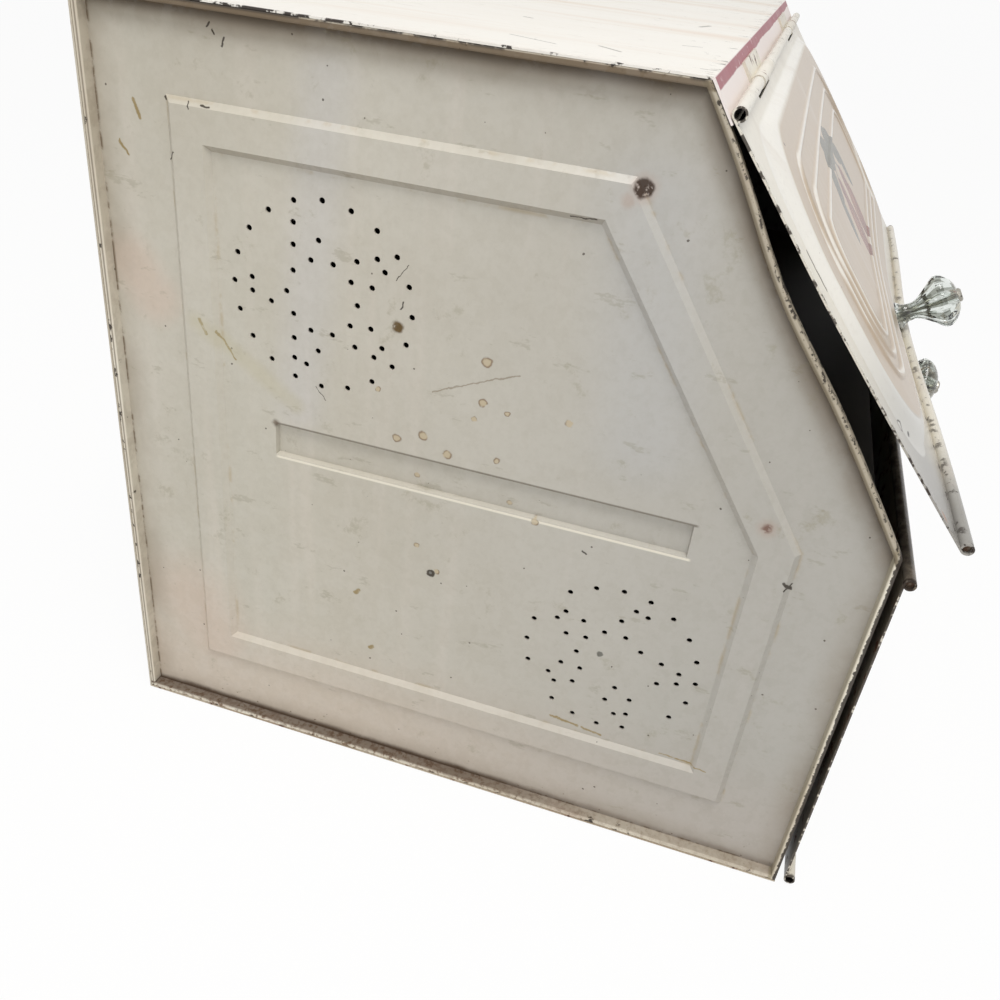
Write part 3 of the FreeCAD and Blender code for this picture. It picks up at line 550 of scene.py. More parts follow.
def mix_end_enamel():
    paint = Paint("end_enamel")
    x, y, z = paint.split()
    out_x, _, out_z = paint.facing()
    left = paint.fade(x, 0.0, -0.01)
    deep = side_depths(paint)
    away = paint.calc("DIVIDE", paint.calc("SUBTRACT", up_slant(paint), BOW_PLACE), BOW_SPREAD)
    bow = paint.calc("EXPONENT", paint.calc("MULTIPLY", paint.calc("MULTIPLY", away, away), -1.0))
    bow = paint.calc("MULTIPLY", paint.all_of(bow, left, paint.fade(deep["slant"], 0.014, 0.007)), BOW)
    deep["slant"] = paint.calc("SUBTRACT", deep["slant"], bow)
    nearest = paint.least_of(*deep.values())
    flat = paint.ragged(paint.move("MULTIPLY", paint.place, (0, 1, 1)), 380.0, 0.0016, flat=True)
    cloud = paint.noise(7.0, 5, 0.6)
    fine = paint.noise(420.0, 3, 0.6)
    streaks = paint.noise(70.0, 3, 0.55, stretch=(1, 1, 0.05))
    broad_streaks = paint.noise(18.0, 2, 0.5, stretch=(1, 1, 0.1), shift=3.0)
    shade = paint.coat(paint.fade(cloud, 0.25, 0.75), colour(190, 184, 170), colour(201, 196, 184))
    shade = paint.glaze(paint.fade(streaks, 0.52, 0.8), 0.45, shade, colour(214, 205, 194))
    shade = paint.glaze(paint.fade(broad_streaks, 0.5, 0.75), 0.4, shade, colour(186, 184, 170))
    # painted reflection: faint lavender and blue-grey upright bands, where the glossy end mirrors the room
    painted_reflection_band = paint.scratch(flat, on_end(62, 290), on_end(73, 170), 0.016, 0.9)
    shade = paint.glaze(painted_reflection_band, 0.26, shade, colour(199, 199, 205))
    painted_reflection_band = paint.scratch(flat, on_end(-48, 268), on_end(-60, 190), 0.03, 0.9)
    shade = paint.glaze(painted_reflection_band, 0.4, shade, colour(194, 196, 200))
    warm = paint.any_of(
        paint.scratch(flat, on_end(142, 215), on_end(133, 203), 0.016, 0.8),
        paint.scratch(flat, on_end(128, 60), on_end(118, 40), 0.035, 0.9),
    )
    warm = paint.any_of(warm, paint.calc("MULTIPLY", paint.fade(deep["foot"], 0.07, 0.02), 0.7))
    shade = paint.glaze(warm, 0.6, shade, colour(204, 184, 168))
    # painted shade: the end grows greyer and darker towards its front
    shade = paint.glaze(paint.fade(y, 0.09, -0.15), 0.6, shade, colour(162, 161, 159))
    shade = paint.glaze(paint.fade(fine, 0.35, 0.75), 0.10, shade, colour(150, 142, 126))

    grime = paint.fade(paint.noise(30.0, 4, 0.6, shift=8.0), 0.2, 0.7)
    grime = paint.all_of(paint.fade(nearest, 0.016, 0.004), grime)
    shade = paint.glaze(grime, 0.4, shade, GRIME)
    # painted shadow: a soft dark band under the top rim and inside the slanted rim, darkest next to the rim
    over = paint.least_of(deep["top"], paint.calc("ADD", deep["slant"], 0.0012))
    shade = paint.glaze(paint.fade(over, 0.0135, 0.003), 0.5, shade, colour(122, 108, 90))
    shade = paint.glaze(paint.fade(over, 0.0074, 0.0024), 0.84, shade, colour(70, 57, 42))

    smudges = paint.fade(paint.noise(62.0, 6, 0.75, shift=21.0), 0.60, 0.70)
    shade = paint.glaze(smudges, 0.34, shade, colour(146, 138, 112))
    scuffs = paint.fade(paint.noise(120.0, 5, 0.7, stretch=(1, 0.35, 1), shift=23.0), 0.62, 0.68)
    shade = paint.glaze(scuffs, 0.3, shade, colour(138, 130, 106))
    frame_lines = paint.any_of(
        paint.band(nearest, 0.0465, 0.0477, 0.0006),
        paint.band(nearest, 0.0304, 0.0314, 0.0006),
    )
    worn_line = paint.all_of(frame_lines, paint.fade(paint.noise(60.0, 4, 0.7, shift=31.0), 0.5, 0.62))
    shade = paint.glaze(worn_line, 0.4, shade, colour(168, 146, 104))
    # painted highlight on pressed slopes that face up, and painted shade on those that face down
    inner_field = paint.fade(nearest, 0.020, 0.024)
    painted_highlight_on_up_slopes = paint.all_of(inner_field, paint.fade(out_z, 0.25, 0.60))
    shade = paint.glaze(painted_highlight_on_up_slopes, 0.15, shade, colour(240, 234, 220))
    painted_shade_on_down_slopes = paint.all_of(inner_field, paint.fade(out_z, -0.25, -0.60))
    shade = paint.glaze(painted_shade_on_down_slopes, 0.42, shade, colour(112, 100, 82))
    # painted highlight along the foot of the pressed ledge, and a painted shade line along its head
    along_ledge = paint.band(y, -0.0845, 0.0830, 0.0008)
    ledge_painted_highlight = paint.all_of(along_ledge, paint.band(z, LEDGE_LOW - 0.0008, LEDGE_LOW + 0.0003, 0.0003))
    shade = paint.glaze(ledge_painted_highlight, 0.75, shade, colour(240, 233, 216))
    ledge_painted_shade = paint.all_of(along_ledge, paint.band(z, LEDGE_HIGH - 0.0008, LEDGE_HIGH + 0.0002, 0.0003))
    shade = paint.glaze(ledge_painted_shade, 0.7, shade, colour(88, 78, 62))
    dust = paint.specks(130.0, 0.0005, 0.16, shift=2.0)
    dust = paint.any_of(dust, paint.specks(300.0, 0.00032, 0.14, shift=5.0))
    shade = paint.glaze(dust, 0.8, shade, colour(62, 50, 38))

    shade = lay_marks(paint, shade, flat, left, fine)

    chipping = paint.noise(150.0, 5, 0.65, shift=11.0)
    blotches = paint.noise(38.0, 5, 0.7, shift=17.0)
    seam = paint.band(nearest, 0.0018, 0.0030, 0.0006)
    seam = paint.all_of(seam, paint.fade(chipping, 0.42, 0.6), paint.fade(deep["front"], 0.003, 0.006))
    shade = paint.coat(seam, shade, colour(112, 96, 76))
    foot_dirt = paint.fade(paint.calc("MULTIPLY_ADD", blotches, -0.004, deep["foot"]), 0.0046, 0.0008)
    muddy = paint.calc("MULTIPLY_ADD", paint.fade(y, -0.09, 0.0), 0.65, 0.35)
    foot_dirt = paint.calc("MULTIPLY", foot_dirt, muddy)
    shade = paint.coat(foot_dirt, shade, colour(82, 64, 48))
    foot_rust = paint.calc("MULTIPLY_ADD", paint.fade(y, -0.05, 0.05), 0.06, chipping)
    foot_rust = paint.fade(foot_rust, 0.50, 0.58)
    pits = paint.specks(210.0, 0.0010, 0.5, shift=13.0)
    pits = paint.all_of(paint.fade(deep["foot"], 0.016, 0.002), pits)
    shade = paint.glaze(pits, 0.8, shade, BROWN_RUST)

    rim_shade, wear = mix_rims(paint, deep, nearest, cloud, streaks, chipping, blotches, muddy, foot_rust)
    on_rim = paint.fade(nearest, 0.0024, 0.0021)
    shade = paint.coat(on_rim, shade, rim_shade)

    outside = paint.fade(paint.calc("MULTIPLY", out_x, paint.calc("SIGN", x)), -0.6, -0.3)
    beyond = paint.fade(paint.calc("ABSOLUTE", x), FACE - 0.0006, FACE - 0.0002)
    beyond = paint.all_of(beyond, paint.fade(nearest, 0.0042, 0.0034))
    shade = paint.coat(paint.any_of(outside, beyond), BARE_INSIDE, shade)
    dull = paint.calc("MULTIPLY_ADD", paint.any_of(wear, foot_rust, grime), 0.55, 0.36)
    return paint.finish(shade, dull, paint.dents(14.0, 40.0, fine, 0.02), 0.0016)


# %% Dress both ends
def dress(material, *names):
    """Give some of the CAD's pieces a finish in place of their plain one."""
    for name in names:
        nodes[name].data.materials.clear()
        nodes[name].data.materials.append(material)


end_enamel = mix_end_enamel()
dress(end_enamel, "left_side_panel", "right_side_panel")

# %% [markdown]
# ## The bowed rim of the left end
#
# Somebody has leant on the slanted rim of the left end, and it bows in by about 3 mm. Its shape is
# right otherwise, so a copy of the end is joined up, cut across the slant at even steps, and its rim
# is pushed in like a soft bump. The copy takes the place of the straight one.

# %% Turn a finished mesh into a piece
MERGE = 1e-6  # points closer than this are one


def joined_copy(name):
    """The mesh of one of the CAD's pieces, with its loose triangles joined up."""
    mesh = bmesh.new()
    mesh.from_mesh(nodes[name].data)
    bmesh.ops.remove_doubles(mesh, verts=mesh.verts, dist=MERGE)
    return mesh


def make_piece(name, mesh, sharp, *materials):
    """Make an object of a mesh. Edges that turn by more than sharp degrees are drawn sharp.

    A reshaped copy of a CAD piece still holds the shading directions of its old shape; they are dropped.
    """
    data = bpy.data.meshes.new(name)
    mesh.to_mesh(data)
    print(name, "has", len(mesh.faces), "faces")
    mesh.free()
    stale = data.attributes.get("custom_normal")
    if stale:
        data.attributes.remove(stale)
    if sharp:
        data.set_sharp_from_angle(angle=math.radians(sharp))
    for material in materials:
        data.materials.append(material)
    piece = bpy.data.objects.new(name, data)
    bpy.context.scene.collection.objects.link(piece)
    return piece


# %% Bow the slanted rim
BOW_CUTS = 16
BOW_GONE = 0.014  # nothing moves further from the slant than this
BOW_FADE = 0.010
SLANT_ZONE = 0.016  # the rims are shaded smooth this far from the slant and the other sides
RIM_ZONE = 0.006


def bow_rim():
    mesh = joined_copy("left_side_panel")
    knee = Vector((0, -HALF_DEPTH, KNEE))
    inward = Vector(slant_inward)
    for step in range(1, BOW_CUTS):
        everything = mesh.verts[:] + mesh.edges[:] + mesh.faces[:]
        level = knee + slant * SLANT_LENGTH * step / BOW_CUTS
        bmesh.ops.bisect_plane(mesh, geom=everything, dist=MERGE, plane_co=level, plane_no=slant)
    for vertex in mesh.verts:
        share = ((vertex.co - knee).dot(slant) / SLANT_LENGTH - BOW_PLACE) / BOW_SPREAD
        deep = (vertex.co - knee).dot(inward)
        hold = min(1.0, max(0.0, (BOW_GONE - deep) / BOW_FADE))
        vertex.co += inward * BOW * math.exp(-share * share) * hold
    for face in mesh.faces:
        middle = face.calc_center_median()
        near_slant = (middle - knee).dot(inward) < SLANT_ZONE
        near_upright = abs(middle.y) > HALF_DEPTH - RIM_ZONE
        near_level = abs(middle.z - HEIGHT / 2) > HEIGHT / 2 - RIM_ZONE
        face.smooth = near_slant or near_upright or near_level
    end = make_piece("left_side_bowed", mesh, 8, end_enamel)
    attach(end, "cabinet")
    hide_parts("left_side_panel")


bow_rim()

# %% [markdown]
# ## The top sheet and its stripe
#
# The top is the palest part, because the light falls straight on it. Long pinkish streaks run from
# back to front, dark cracks open near the fold, and a crimson line is painted by hand just below the
# fold, so its lower edge wavers.

# %% Mix the finish of the top
def mix_top_enamel():
    paint = Paint("top_enamel")
    x, y, _ = paint.split()
    _, out_y, out_z = paint.facing()
    down = paint.depth((0, -slant.y, -slant.z), -slant.y * FOLD - slant.z * HEIGHT)
    cloud = paint.noise(9.0, 4, 0.6)
    streaks = paint.noise(34.0, 4, 0.6, stretch=(1, 0.07, 1), shift=2.0)
    fine = paint.noise(320.0, 3, 0.6)
    shade = paint.coat(cloud, colour(226, 221, 212), colour(236, 233, 226))
    shade = paint.glaze(paint.fade(streaks, 0.46, 0.68), 0.65, shade, colour(216, 198, 180))
    shade = paint.glaze(paint.fade(fine, 0.55, 0.8), 0.15, shade, colour(196, 184, 170))
    scuffs = paint.fade(paint.noise(90.0, 5, 0.75, stretch=(1, 0.25, 1), shift=6.0), 0.62, 0.70)
    shade = paint.glaze(scuffs, 0.42, shade, colour(150, 138, 122))
    near_fold = paint.fade(down, -0.045, -0.004)
    cracking = paint.noise(260.0, 5, 0.7, stretch=(1, 0.35, 1), shift=9.0)
    at_fold = paint.calc("MULTIPLY", paint.fade(down, -0.0045, -0.0005), 0.07)
    cracks = paint.fade(paint.calc("ADD", cracking, at_fold), 0.64, 0.68)
    shade = paint.glaze(paint.all_of(near_fold, cracks), 0.8, shade, colour(88, 76, 62))
    long_scratch = paint.any_of(
        paint.scratch(paint.place, (-0.1912, 0.0102, HEIGHT), (-0.1985, -0.0065, HEIGHT), 0.0006),
        paint.scratch(paint.place, (-0.150, -0.040, HEIGHT), (-0.147, -0.046, HEIGHT), 0.0007),
        paint.scratch(paint.place, (-0.187, -0.0183, HEIGHT), (-0.194, -0.0263, HEIGHT), 0.0009),
        paint.scratch(paint.place, (-0.1305, 0.0225, HEIGHT), (-0.1315, 0.0195, HEIGHT), 0.0011),
        paint.scratch(paint.place, (-0.0695, -0.0362, HEIGHT), (-0.0581, -0.0391, HEIGHT), 0.0012),
    )
    shade = paint.glaze(long_scratch, 0.7, shade, colour(80, 70, 58))
    specks = paint.specks(170.0, 0.0005, 0.2, shift=4.0)
    shade = paint.glaze(specks, 0.8, shade, colour(70, 56, 44))
    far_out = paint.calc("ABSOLUTE", x)
    lip = paint.fade(far_out, 0.2187, 0.2197)
    chipping = paint.noise(150.0, 5, 0.65, shift=12.0)
    chipping = paint.calc("MULTIPLY_ADD", paint.band(y, 0.045, 0.115, 0.02), 0.12, chipping)
    chips = paint.all_of(lip, paint.fade(chipping, 0.57, 0.62))
    shade = paint.coat(chips, shade, colour(48, 38, 30))

    strip = paint.fade(down, 0.0002, 0.0008)
    strip_shade = paint.coat(cloud, colour(228, 214, 208), colour(238, 230, 226))
    shade = paint.coat(strip, shade, strip_shade)
    waver = paint.noise(16.0, 3, 0.6, stretch=(1, 0, 0), shift=7.0)
    waver = paint.calc("MULTIPLY_ADD", waver, 0.0030, -0.0015)
    reach = paint.calc("SUBTRACT", 0.0045, down)
    stripe = paint.all_of(
        paint.fade(down, 0.0005, 0.0010),
        paint.fade(paint.calc("ADD", reach, waver), -0.0003, 0.0003),
        paint.fade(far_out, 0.2192, 0.2182),
    )
    worn = paint.fade(paint.noise(140.0, 4, 0.7, shift=14.0), 0.72, 0.6)
    crimson = paint.coat(cloud, colour(128, 40, 56), colour(152, 56, 72))
    shade = paint.coat(paint.all_of(stripe, worn), shade, crimson)

    inward = paint.any_of(
        paint.all_of(paint.fade(out_z, -0.4, -0.6), paint.fade(far_out, FACE, FACE - 0.001)),
        paint.all_of(paint.fade(out_y, 0.5, 0.7), paint.fade(y, 0.14, 0.13)),
    )
    shade = paint.coat(inward, shade, BARE_INSIDE)
    dull = paint.calc("MULTIPLY_ADD", streaks, 0.2, 0.32)
    return paint.finish(shade, dull, paint.dents(11.0, 43.0, fine, 0.03), 0.0014)


dress(mix_top_enamel(), "top_panel")

# %% [markdown]
# ## Back, floor, shelf and straps
#
# The back and the floor wear the same enamel, duller and dirtier, and are bare dark tin inside. One
# helper mixes such a plain coat. Its arguments set the two shades, how much is chipped, and which way
# the bare inside faces.

# %% Mix the plainer enamels
def mix_plain_enamel(name, light, dark, chip_level, inward=None):
    """Old enamel with clouds, specks and chips; what faces inward is bare."""
    paint = Paint(name)
    cloud = paint.noise(12.0, 5, 0.6)
    fine = paint.noise(300.0, 3, 0.6)
    chipping = paint.noise(140.0, 5, 0.65, shift=19.0)
    shade = paint.coat(paint.fade(cloud, 0.3, 0.7), dark, light)
    shade = paint.glaze(paint.fade(fine, 0.5, 0.8), 0.2, shade, GRIME)
    specks = paint.specks(180.0, 0.0006, 0.25, shift=1.0)
    shade = paint.glaze(specks, 0.8, shade, colour(70, 54, 40))
    chips = paint.fade(chipping, chip_level, chip_level + 0.03)
    shade = paint.coat(chips, shade, colour(58, 44, 34))
    halo = paint.fade(chipping, chip_level - 0.07, chip_level)
    shade = paint.glaze(halo, 0.35, shade, RED_RUST)
    if inward:
        facing = paint.add("ShaderNodeTexCoord").outputs["Normal"]
        inner = paint.fade(paint.measure("DOT_PRODUCT", facing, inward), 0.4, 0.6)
        within = paint.fade(paint.calc("ABSOLUTE", paint.split()[0]), FACE, FACE - 0.001)
        shade = paint.coat(paint.all_of(inner, within), shade, BARE_INSIDE)
    dull = paint.calc("MULTIPLY_ADD", chips, 0.35, 0.38)
    return paint.finish(shade, dull, paint.dents(13.0, 47.0, fine, 0.03), 0.0012)


back_shades = colour(198, 190, 174), colour(182, 172, 154)
floor_shades = colour(196, 184, 164), colour(156, 136, 112)
strap_shades = colour(228, 222, 208), colour(206, 198, 182)
dress(mix_plain_enamel("back_enamel", *back_shades, 0.70, (0, -1, 0)), "back_panel")
dress(mix_plain_enamel("floor_enamel", *floor_shades, 0.62, (0, 0, 1)), "bottom_panel")
dress(mix_plain_enamel("hinge_enamel", *strap_shades, 0.63), *(name for name in nodes if "strap" in name))


# %% Mix the dull tin of the shelf
def mix_shelf_tin():
    paint = Paint("shelf_tin")
    cloud = paint.noise(16.0, 5, 0.65)
    rings = paint.noise(60.0, 4, 0.7, stretch=(0.2, 1, 1))
    shade = paint.coat(paint.fade(cloud, 0.3, 0.7), colour(60, 55, 48), colour(84, 79, 70))
    shade = paint.glaze(paint.fade(rings, 0.6, 0.72), 0.6, shade, colour(82, 58, 40))
    return paint.finish(shade, paint.calc("MULTIPLY_ADD", cloud, 0.3, 0.35), rings, 0.0003, metallic=0.25)


dress(mix_shelf_tin(), "shelf")

# %% [markdown]
# ## The doors' own directions
#
# A door is easiest to shape lying flat. X runs along its hinge, Y from the pin to the far edge, Z out
# of its face, and the pin is the origin. A matrix then carries the finished mesh to the hinge.

# %% Find the two hinges
TUBE = 0.00228  # outer radius of the rolled tube
BEAD = 0.00225  # outer radius of the bead round the wire
REACH = {"upper": 0.15764, "lower": 0.1576}  # from the pin to the middle of the bead's wire
DOOR_HALF = 0.2196
AJAR = math.radians(4.6)


def hinge_frame(pin, direction, outward):
    """The matrix that carries a door from its flat bench onto its hinge."""
    along = direction.cross(outward)
    turned = Matrix((along, direction, outward)).transposed().to_4x4()
    return Matrix.Translation(pin) @ turned


slope = math.atan2(slant.y, slant.z)
pins = {joint["name"]: joint["pos_m"] for joint in frame["joints"]}
hang = slope + AJAR
hanging = Vector((0, -math.sin(hang), -math.cos(hang)))
hinges = {
    "upper": hinge_frame(pins["upper_door_hinge"], hanging, Vector((0, hanging.z, -hanging.y))),
    "lower": hinge_frame(pins["lower_door_hinge"], Vector((0, 0, 1)), Vector((0, -1, 0))),
}
print("upper door hangs at", round(math.degrees(hang), 2), "degrees from upright")

# %% [markdown]
# ## The pressed door sheets
#
# Each door is one sheet. Its hinge edge is rolled into a tube, its far edge is rolled round a wire,
# and a broad field with three nested ridges is pressed out of its face. The pressing is a set of
# round-cornered outlines at different heights, like contour lines on a map. The first one is drawn,
# and each further one is drawn out of the one before it, so that every point keeps its own partner.
# Only the sheet's inner skin is drawn, and then given the thickness of tin.
#
# The upper door isn't flat any more. Its lower left corner stands out, and the pull of the knob has
# drawn the middle of its edge in, so the flat shape is bent a little before it goes to its hinge.

# %% Draw one outline of the pressing
def gather(first):
    """Every edge that hangs together with the first one, in the order in which they are met."""
    edges = [first]
    for edge in edges:
        for vertex in edge.verts:
            edges += [other for other in vertex.link_edges if other not in edges]
    return edges


def round_outline(mesh, half, near, far, near_radius, far_radius, height):
    """A rectangle with round corners, as a loop of edges, cut often enough to bend."""
    corners = bmesh.ops.create_grid(mesh, x_segments=1, y_segments=1, size=1.0)["verts"]
    middle = (far + near) / 2
    bmesh.ops.scale(mesh, verts=corners, vec=(half, (far - near) / 2, 1))
    bmesh.ops.translate(mesh, verts=corners, vec=(0, middle, height))
    near_corners = [v for v in corners if v.co.y < middle]
    far_corners = [v for v in corners if v.co.y > middle]
    for radius, ends in ((near_radius, near_corners), (far_radius, far_corners)):
        bmesh.ops.bevel(
            mesh, geom=ends, affect="VERTICES", offset=radius, offset_type="OFFSET",
            segments=12, profile=0.5, material=-1,
        )
    face = max(mesh.faces, key=lambda f: len(f.verts))
    start = min(face.edges, key=lambda edge: edge.calc_length())
    bmesh.ops.delete(mesh, geom=[face], context="FACES_ONLY")
    sides = sorted(gather(start), key=lambda edge: edge.calc_length())
    bmesh.ops.subdivide_edges(mesh, edges=sides[-2:], cuts=23)
    bmesh.ops.subdivide_edges(mesh, edges=sides[-4:-2], cuts=5)
    return gather(start)


# %% Note the outlines of the pressing
FIELD_RISE = 0.0030
RIDGES = 3
RIDGE_STEP = 0.0135
RIDGE_PROFILE = (  # how far inwards and how high
    (0, 0), (0.0005, 0.00012), (0.0011, 0.0007), (0.0017, 0.0009),
    (0.0023, 0.0007), (0.0029, 0.00012), (0.0034, 0),
)
WIDEST_STRIP = 0.0045


def field_foot(reach):
    """Half length, near end and far end of the outline where the field starts to rise."""
    return 0.2060, 0.0090, reach - 0.0190


def field_top(reach):
    """The same for the outline where the field has risen."""
    return 0.1990, 0.0140, reach - 0.0240


def ridge(number, reach):
    """The same for the outer side of one of the nested ridges."""
    inset = RIDGE_STEP * number
    return 0.1825 - inset, 0.0270 + inset, reach - 0.0240 - 0.0140 - 0.0065 * number


# %% List the contours of the pressing, from the foot of the field inwards
def contours(reach):
    """Half length, near end, far end, near and far corner radius and height of each outline."""
    foot = (*field_foot(reach), 0.032, 0.030)
    plateau = (*field_top(reach), 0.052, 0.044)
    lines = []
    for share in (0.0, 0.12, 0.35, 0.65, 0.88, 1.0):
        blend = [a + (b - a) * share for a, b in zip(foot, plateau)]
        lines.append((*blend, FIELD_RISE * share * share * (3 - 2 * share) - TUBE))
    for number in range(RIDGES):
        half, near, end = ridge(number, reach)
        near_radius = 0.046 - RIDGE_STEP * number
        far_radius = 0.034 - 0.008 * number
        for move, rise in RIDGE_PROFILE:
            sizes = half - move, near + move, end - move, near_radius - move, far_radius - move
            lines.append((*sizes, FIELD_RISE - TUBE + rise))
    close = lines[:1]
    for line in lines[1:]:
        before = close[-1]
        steps = math.ceil(abs(before[1] - line[1]) / WIDEST_STRIP)
        for step in range(1, steps + 1):
            close.append(tuple(a + (b - a) * step / steps for a, b in zip(before, line)))
    return close


def slide(place, old, new):
    """Carry a place on one outline to the next one, corner to corner and side to side."""
    half, near, far, near_radius, far_radius, _ = old
    new_half, new_near, new_far, new_near_radius, new_far_radius, height = new
    radius, new_radius = far_radius, new_far_radius
    if place.y < (near + far) / 2:
        radius, new_radius = near_radius, new_near_radius
    straight, new_straight = half - radius, new_half - new_radius
    if abs(place.x) > straight:
        across = math.copysign(new_straight + (abs(place.x) - straight) * new_radius / radius, place.x)
    else:
        across = place.x * new_straight / straight
    low, high = near + near_radius, far - far_radius
    new_low, new_high = new_near + new_near_radius, new_far - new_far_radius
    if place.y < low:
        down = new_low - (low - place.y) * new_near_radius / near_radius
    elif place.y > high:
        down = new_high + (place.y - high) * new_far_radius / far_radius
    else:
        down = new_low + (place.y - low) * (new_high - new_low) / (high - low)
    return Vector((across, down, height))


print(len(contours(REACH["upper"])), "contours on each door")


# %% Bend the upper door as its years did
LENGTH = 0.1676  # the bends grow over this length
CORNER_OUT = 0.0042
MIDDLE_IN = 0.0050
FAR_SIDE_IN = 0.0014
LOWER_IN = 0.0005


def bend_of(name, across, down):
    """How far the sheet has left its flat shape, outwards, at a place on the door."""
    share = max(down, 0.0) / LENGTH
    if name == "lower":
        return -LOWER_IN * math.sin(math.pi * min(share, 1.0)) * math.cos(across * 6.5)
    photo_side = max(-1.0, min(1.0, across / DOOR_HALF))
    corner = CORNER_OUT * max(0.0, (share - 0.32) / 0.62) ** 1.3 * (0.5 + 0.5 * photo_side) ** 1.2
    drawn_in = -MIDDLE_IN * share ** 1.5 * math.exp(-(((across + 0.008) / 0.125) ** 2))
    far_side = -FAR_SIDE_IN * share ** 1.5 * (0.5 - 0.5 * photo_side)
    return corner + drawn_in + far_side


print("the upper door's left corner stands out by", round(bend_of("upper", DOOR_HALF, 0.157), 4))


# %% Press a door sheet
NOTCH_HALF = 0.0278  # the tube is cut away for the two straps
NOTCH_DEPTH = 0.005
STRAPS = (-0.118, 0.118)
EDGE_STEP = 0.013
TUBE_TURN = -308  # degrees that the sheet is rolled by, at its tube and at its bead
BEAD_TURN = 318


def cut_blank(mesh, reach):
    """The outline of the flat sheet, with notches for the straps, cut into short edges."""
    corners = [(-DOOR_HALF, reach), (-DOOR_HALF, 0)]
    for centre in STRAPS:
        low, high = centre - NOTCH_HALF, centre + NOTCH_HALF
        corners += [(low, 0), (low, NOTCH_DEPTH), (high, NOTCH_DEPTH), (high, 0)]
    corners += [(DOOR_HALF, 0), (DOOR_HALF, reach)]
    points = [mesh.verts.new((across, down, -TUBE)) for across, down in corners]
    for edge in [mesh.edges.new((points[index - 1], points[index])) for index in range(len(points))]:
        cuts = int(edge.calc_length() / EDGE_STEP)
        if cuts:
            bmesh.ops.subdivide_edges(mesh, edges=[edge], cuts=cuts)
    return mesh.edges[:]


def press_door(name, enamel, inside):
    """Build one door sheet on the bench, bend it and carry it to its hinge."""
    reach = REACH[name]
    mesh = bmesh.new()
    outline = cut_blank(mesh, reach)

    lines = contours(reach)
    ring = round_outline(mesh, *lines[0])
    bmesh.ops.triangle_fill(mesh, edges=outline + ring, use_beauty=True)
    for old, new in zip(lines, lines[1:]):
        grown = bmesh.ops.extrude_edge_only(mesh, edges=ring)["geom"]
        ring = [part for part in grown if isinstance(part, bmesh.types.BMEdge)]
        for vertex in (part for part in grown if isinstance(part, bmesh.types.BMVert)):
            vertex.co = slide(vertex.co, old, new)
    bmesh.ops.triangle_fill(mesh, edges=ring, use_beauty=True)

    hinge_edges = [e for e in outline if all(abs(v.co.y) < MERGE for v in e.verts)]
    far_edges = [e for e in outline if all(abs(v.co.y - reach) < MERGE for v in e.verts)]
    for edges, centre, turned in (
        (hinge_edges, (0, 0, 0), TUBE_TURN),
        (far_edges, (0, reach, BEAD - TUBE), BEAD_TURN),
    ):
        around = list({v for e in edges for v in e.verts}) + edges
        bmesh.ops.spin(mesh, geom=around, cent=centre, axis=(1, 0, 0), angle=math.radians(turned), steps=20)
    bmesh.ops.remove_doubles(mesh, verts=mesh.verts, dist=MERGE)
    bmesh.ops.recalc_face_normals(mesh, faces=mesh.faces)
    middle = min(mesh.faces, key=lambda f: (f.calc_center_median() - Vector((0, reach / 2, 0))).length)
    if middle.normal.z > 0:
        bmesh.ops.reverse_faces(mesh, faces=mesh.faces)
    bmesh.ops.solidify(mesh, geom=mesh.faces, thickness=SHEET)
    for face in mesh.faces:
        place = face.calc_center_median()
        hidden = TUBE < place.y < reach - BEAD and face.normal.z < -0.2
        face.material_index = 1 if hidden else 0
        face.smooth = True
    for vertex in mesh.verts:
        vertex.co.z += bend_of(name, vertex.co.x, vertex.co.y)
    bmesh.ops.transform(mesh, matrix=hinges[name], verts=mesh.verts)
    sheet = make_piece(f"{name}_door_sheet", mesh, 38, enamel, inside)
    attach(sheet, f"{name}_door")
    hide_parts(f"{name}_door_panel")


# %% [markdown]
# ## The doors' enamel and its painted fruit
#
# The doors keep the creamiest paint. Black pits follow every cut edge, cracks run round the rolled
# tube, and a row of chips marks where the sheet tucks into the bead. In the middle of the upper door
# is a faded stencil of two pears with leaves. Each shape of it is a simple measure: a pear is two
# round spots that melt together, and a leaf is where two circles overlap.

# %% Mix the doors' enamel
def from_outline(paint, across, down, half, near, far, radius):
    """Distance from a round-cornered outline on a door, negative inside it."""
    past_side = paint.calc("SUBTRACT", paint.calc("ABSOLUTE", across), half - radius)
    past_end = paint.calc("ABSOLUTE", paint.calc("SUBTRACT", down, (near + far) / 2))
    past_end = paint.calc("SUBTRACT", past_end, (far - near) / 2 - radius)
    beside = paint.calc("MAXIMUM", past_side, 0.0)
    beyond = paint.calc("MAXIMUM", past_end, 0.0)
    outside = paint.measure("LENGTH", paint.add("ShaderNodeCombineXYZ", beside, beyond, 0.0).outputs[0])
    inside = paint.calc("MINIMUM", paint.calc("MAXIMUM", past_side, past_end), 0.0)
    return paint.calc("ADD", paint.calc("ADD", outside, inside), -radius)


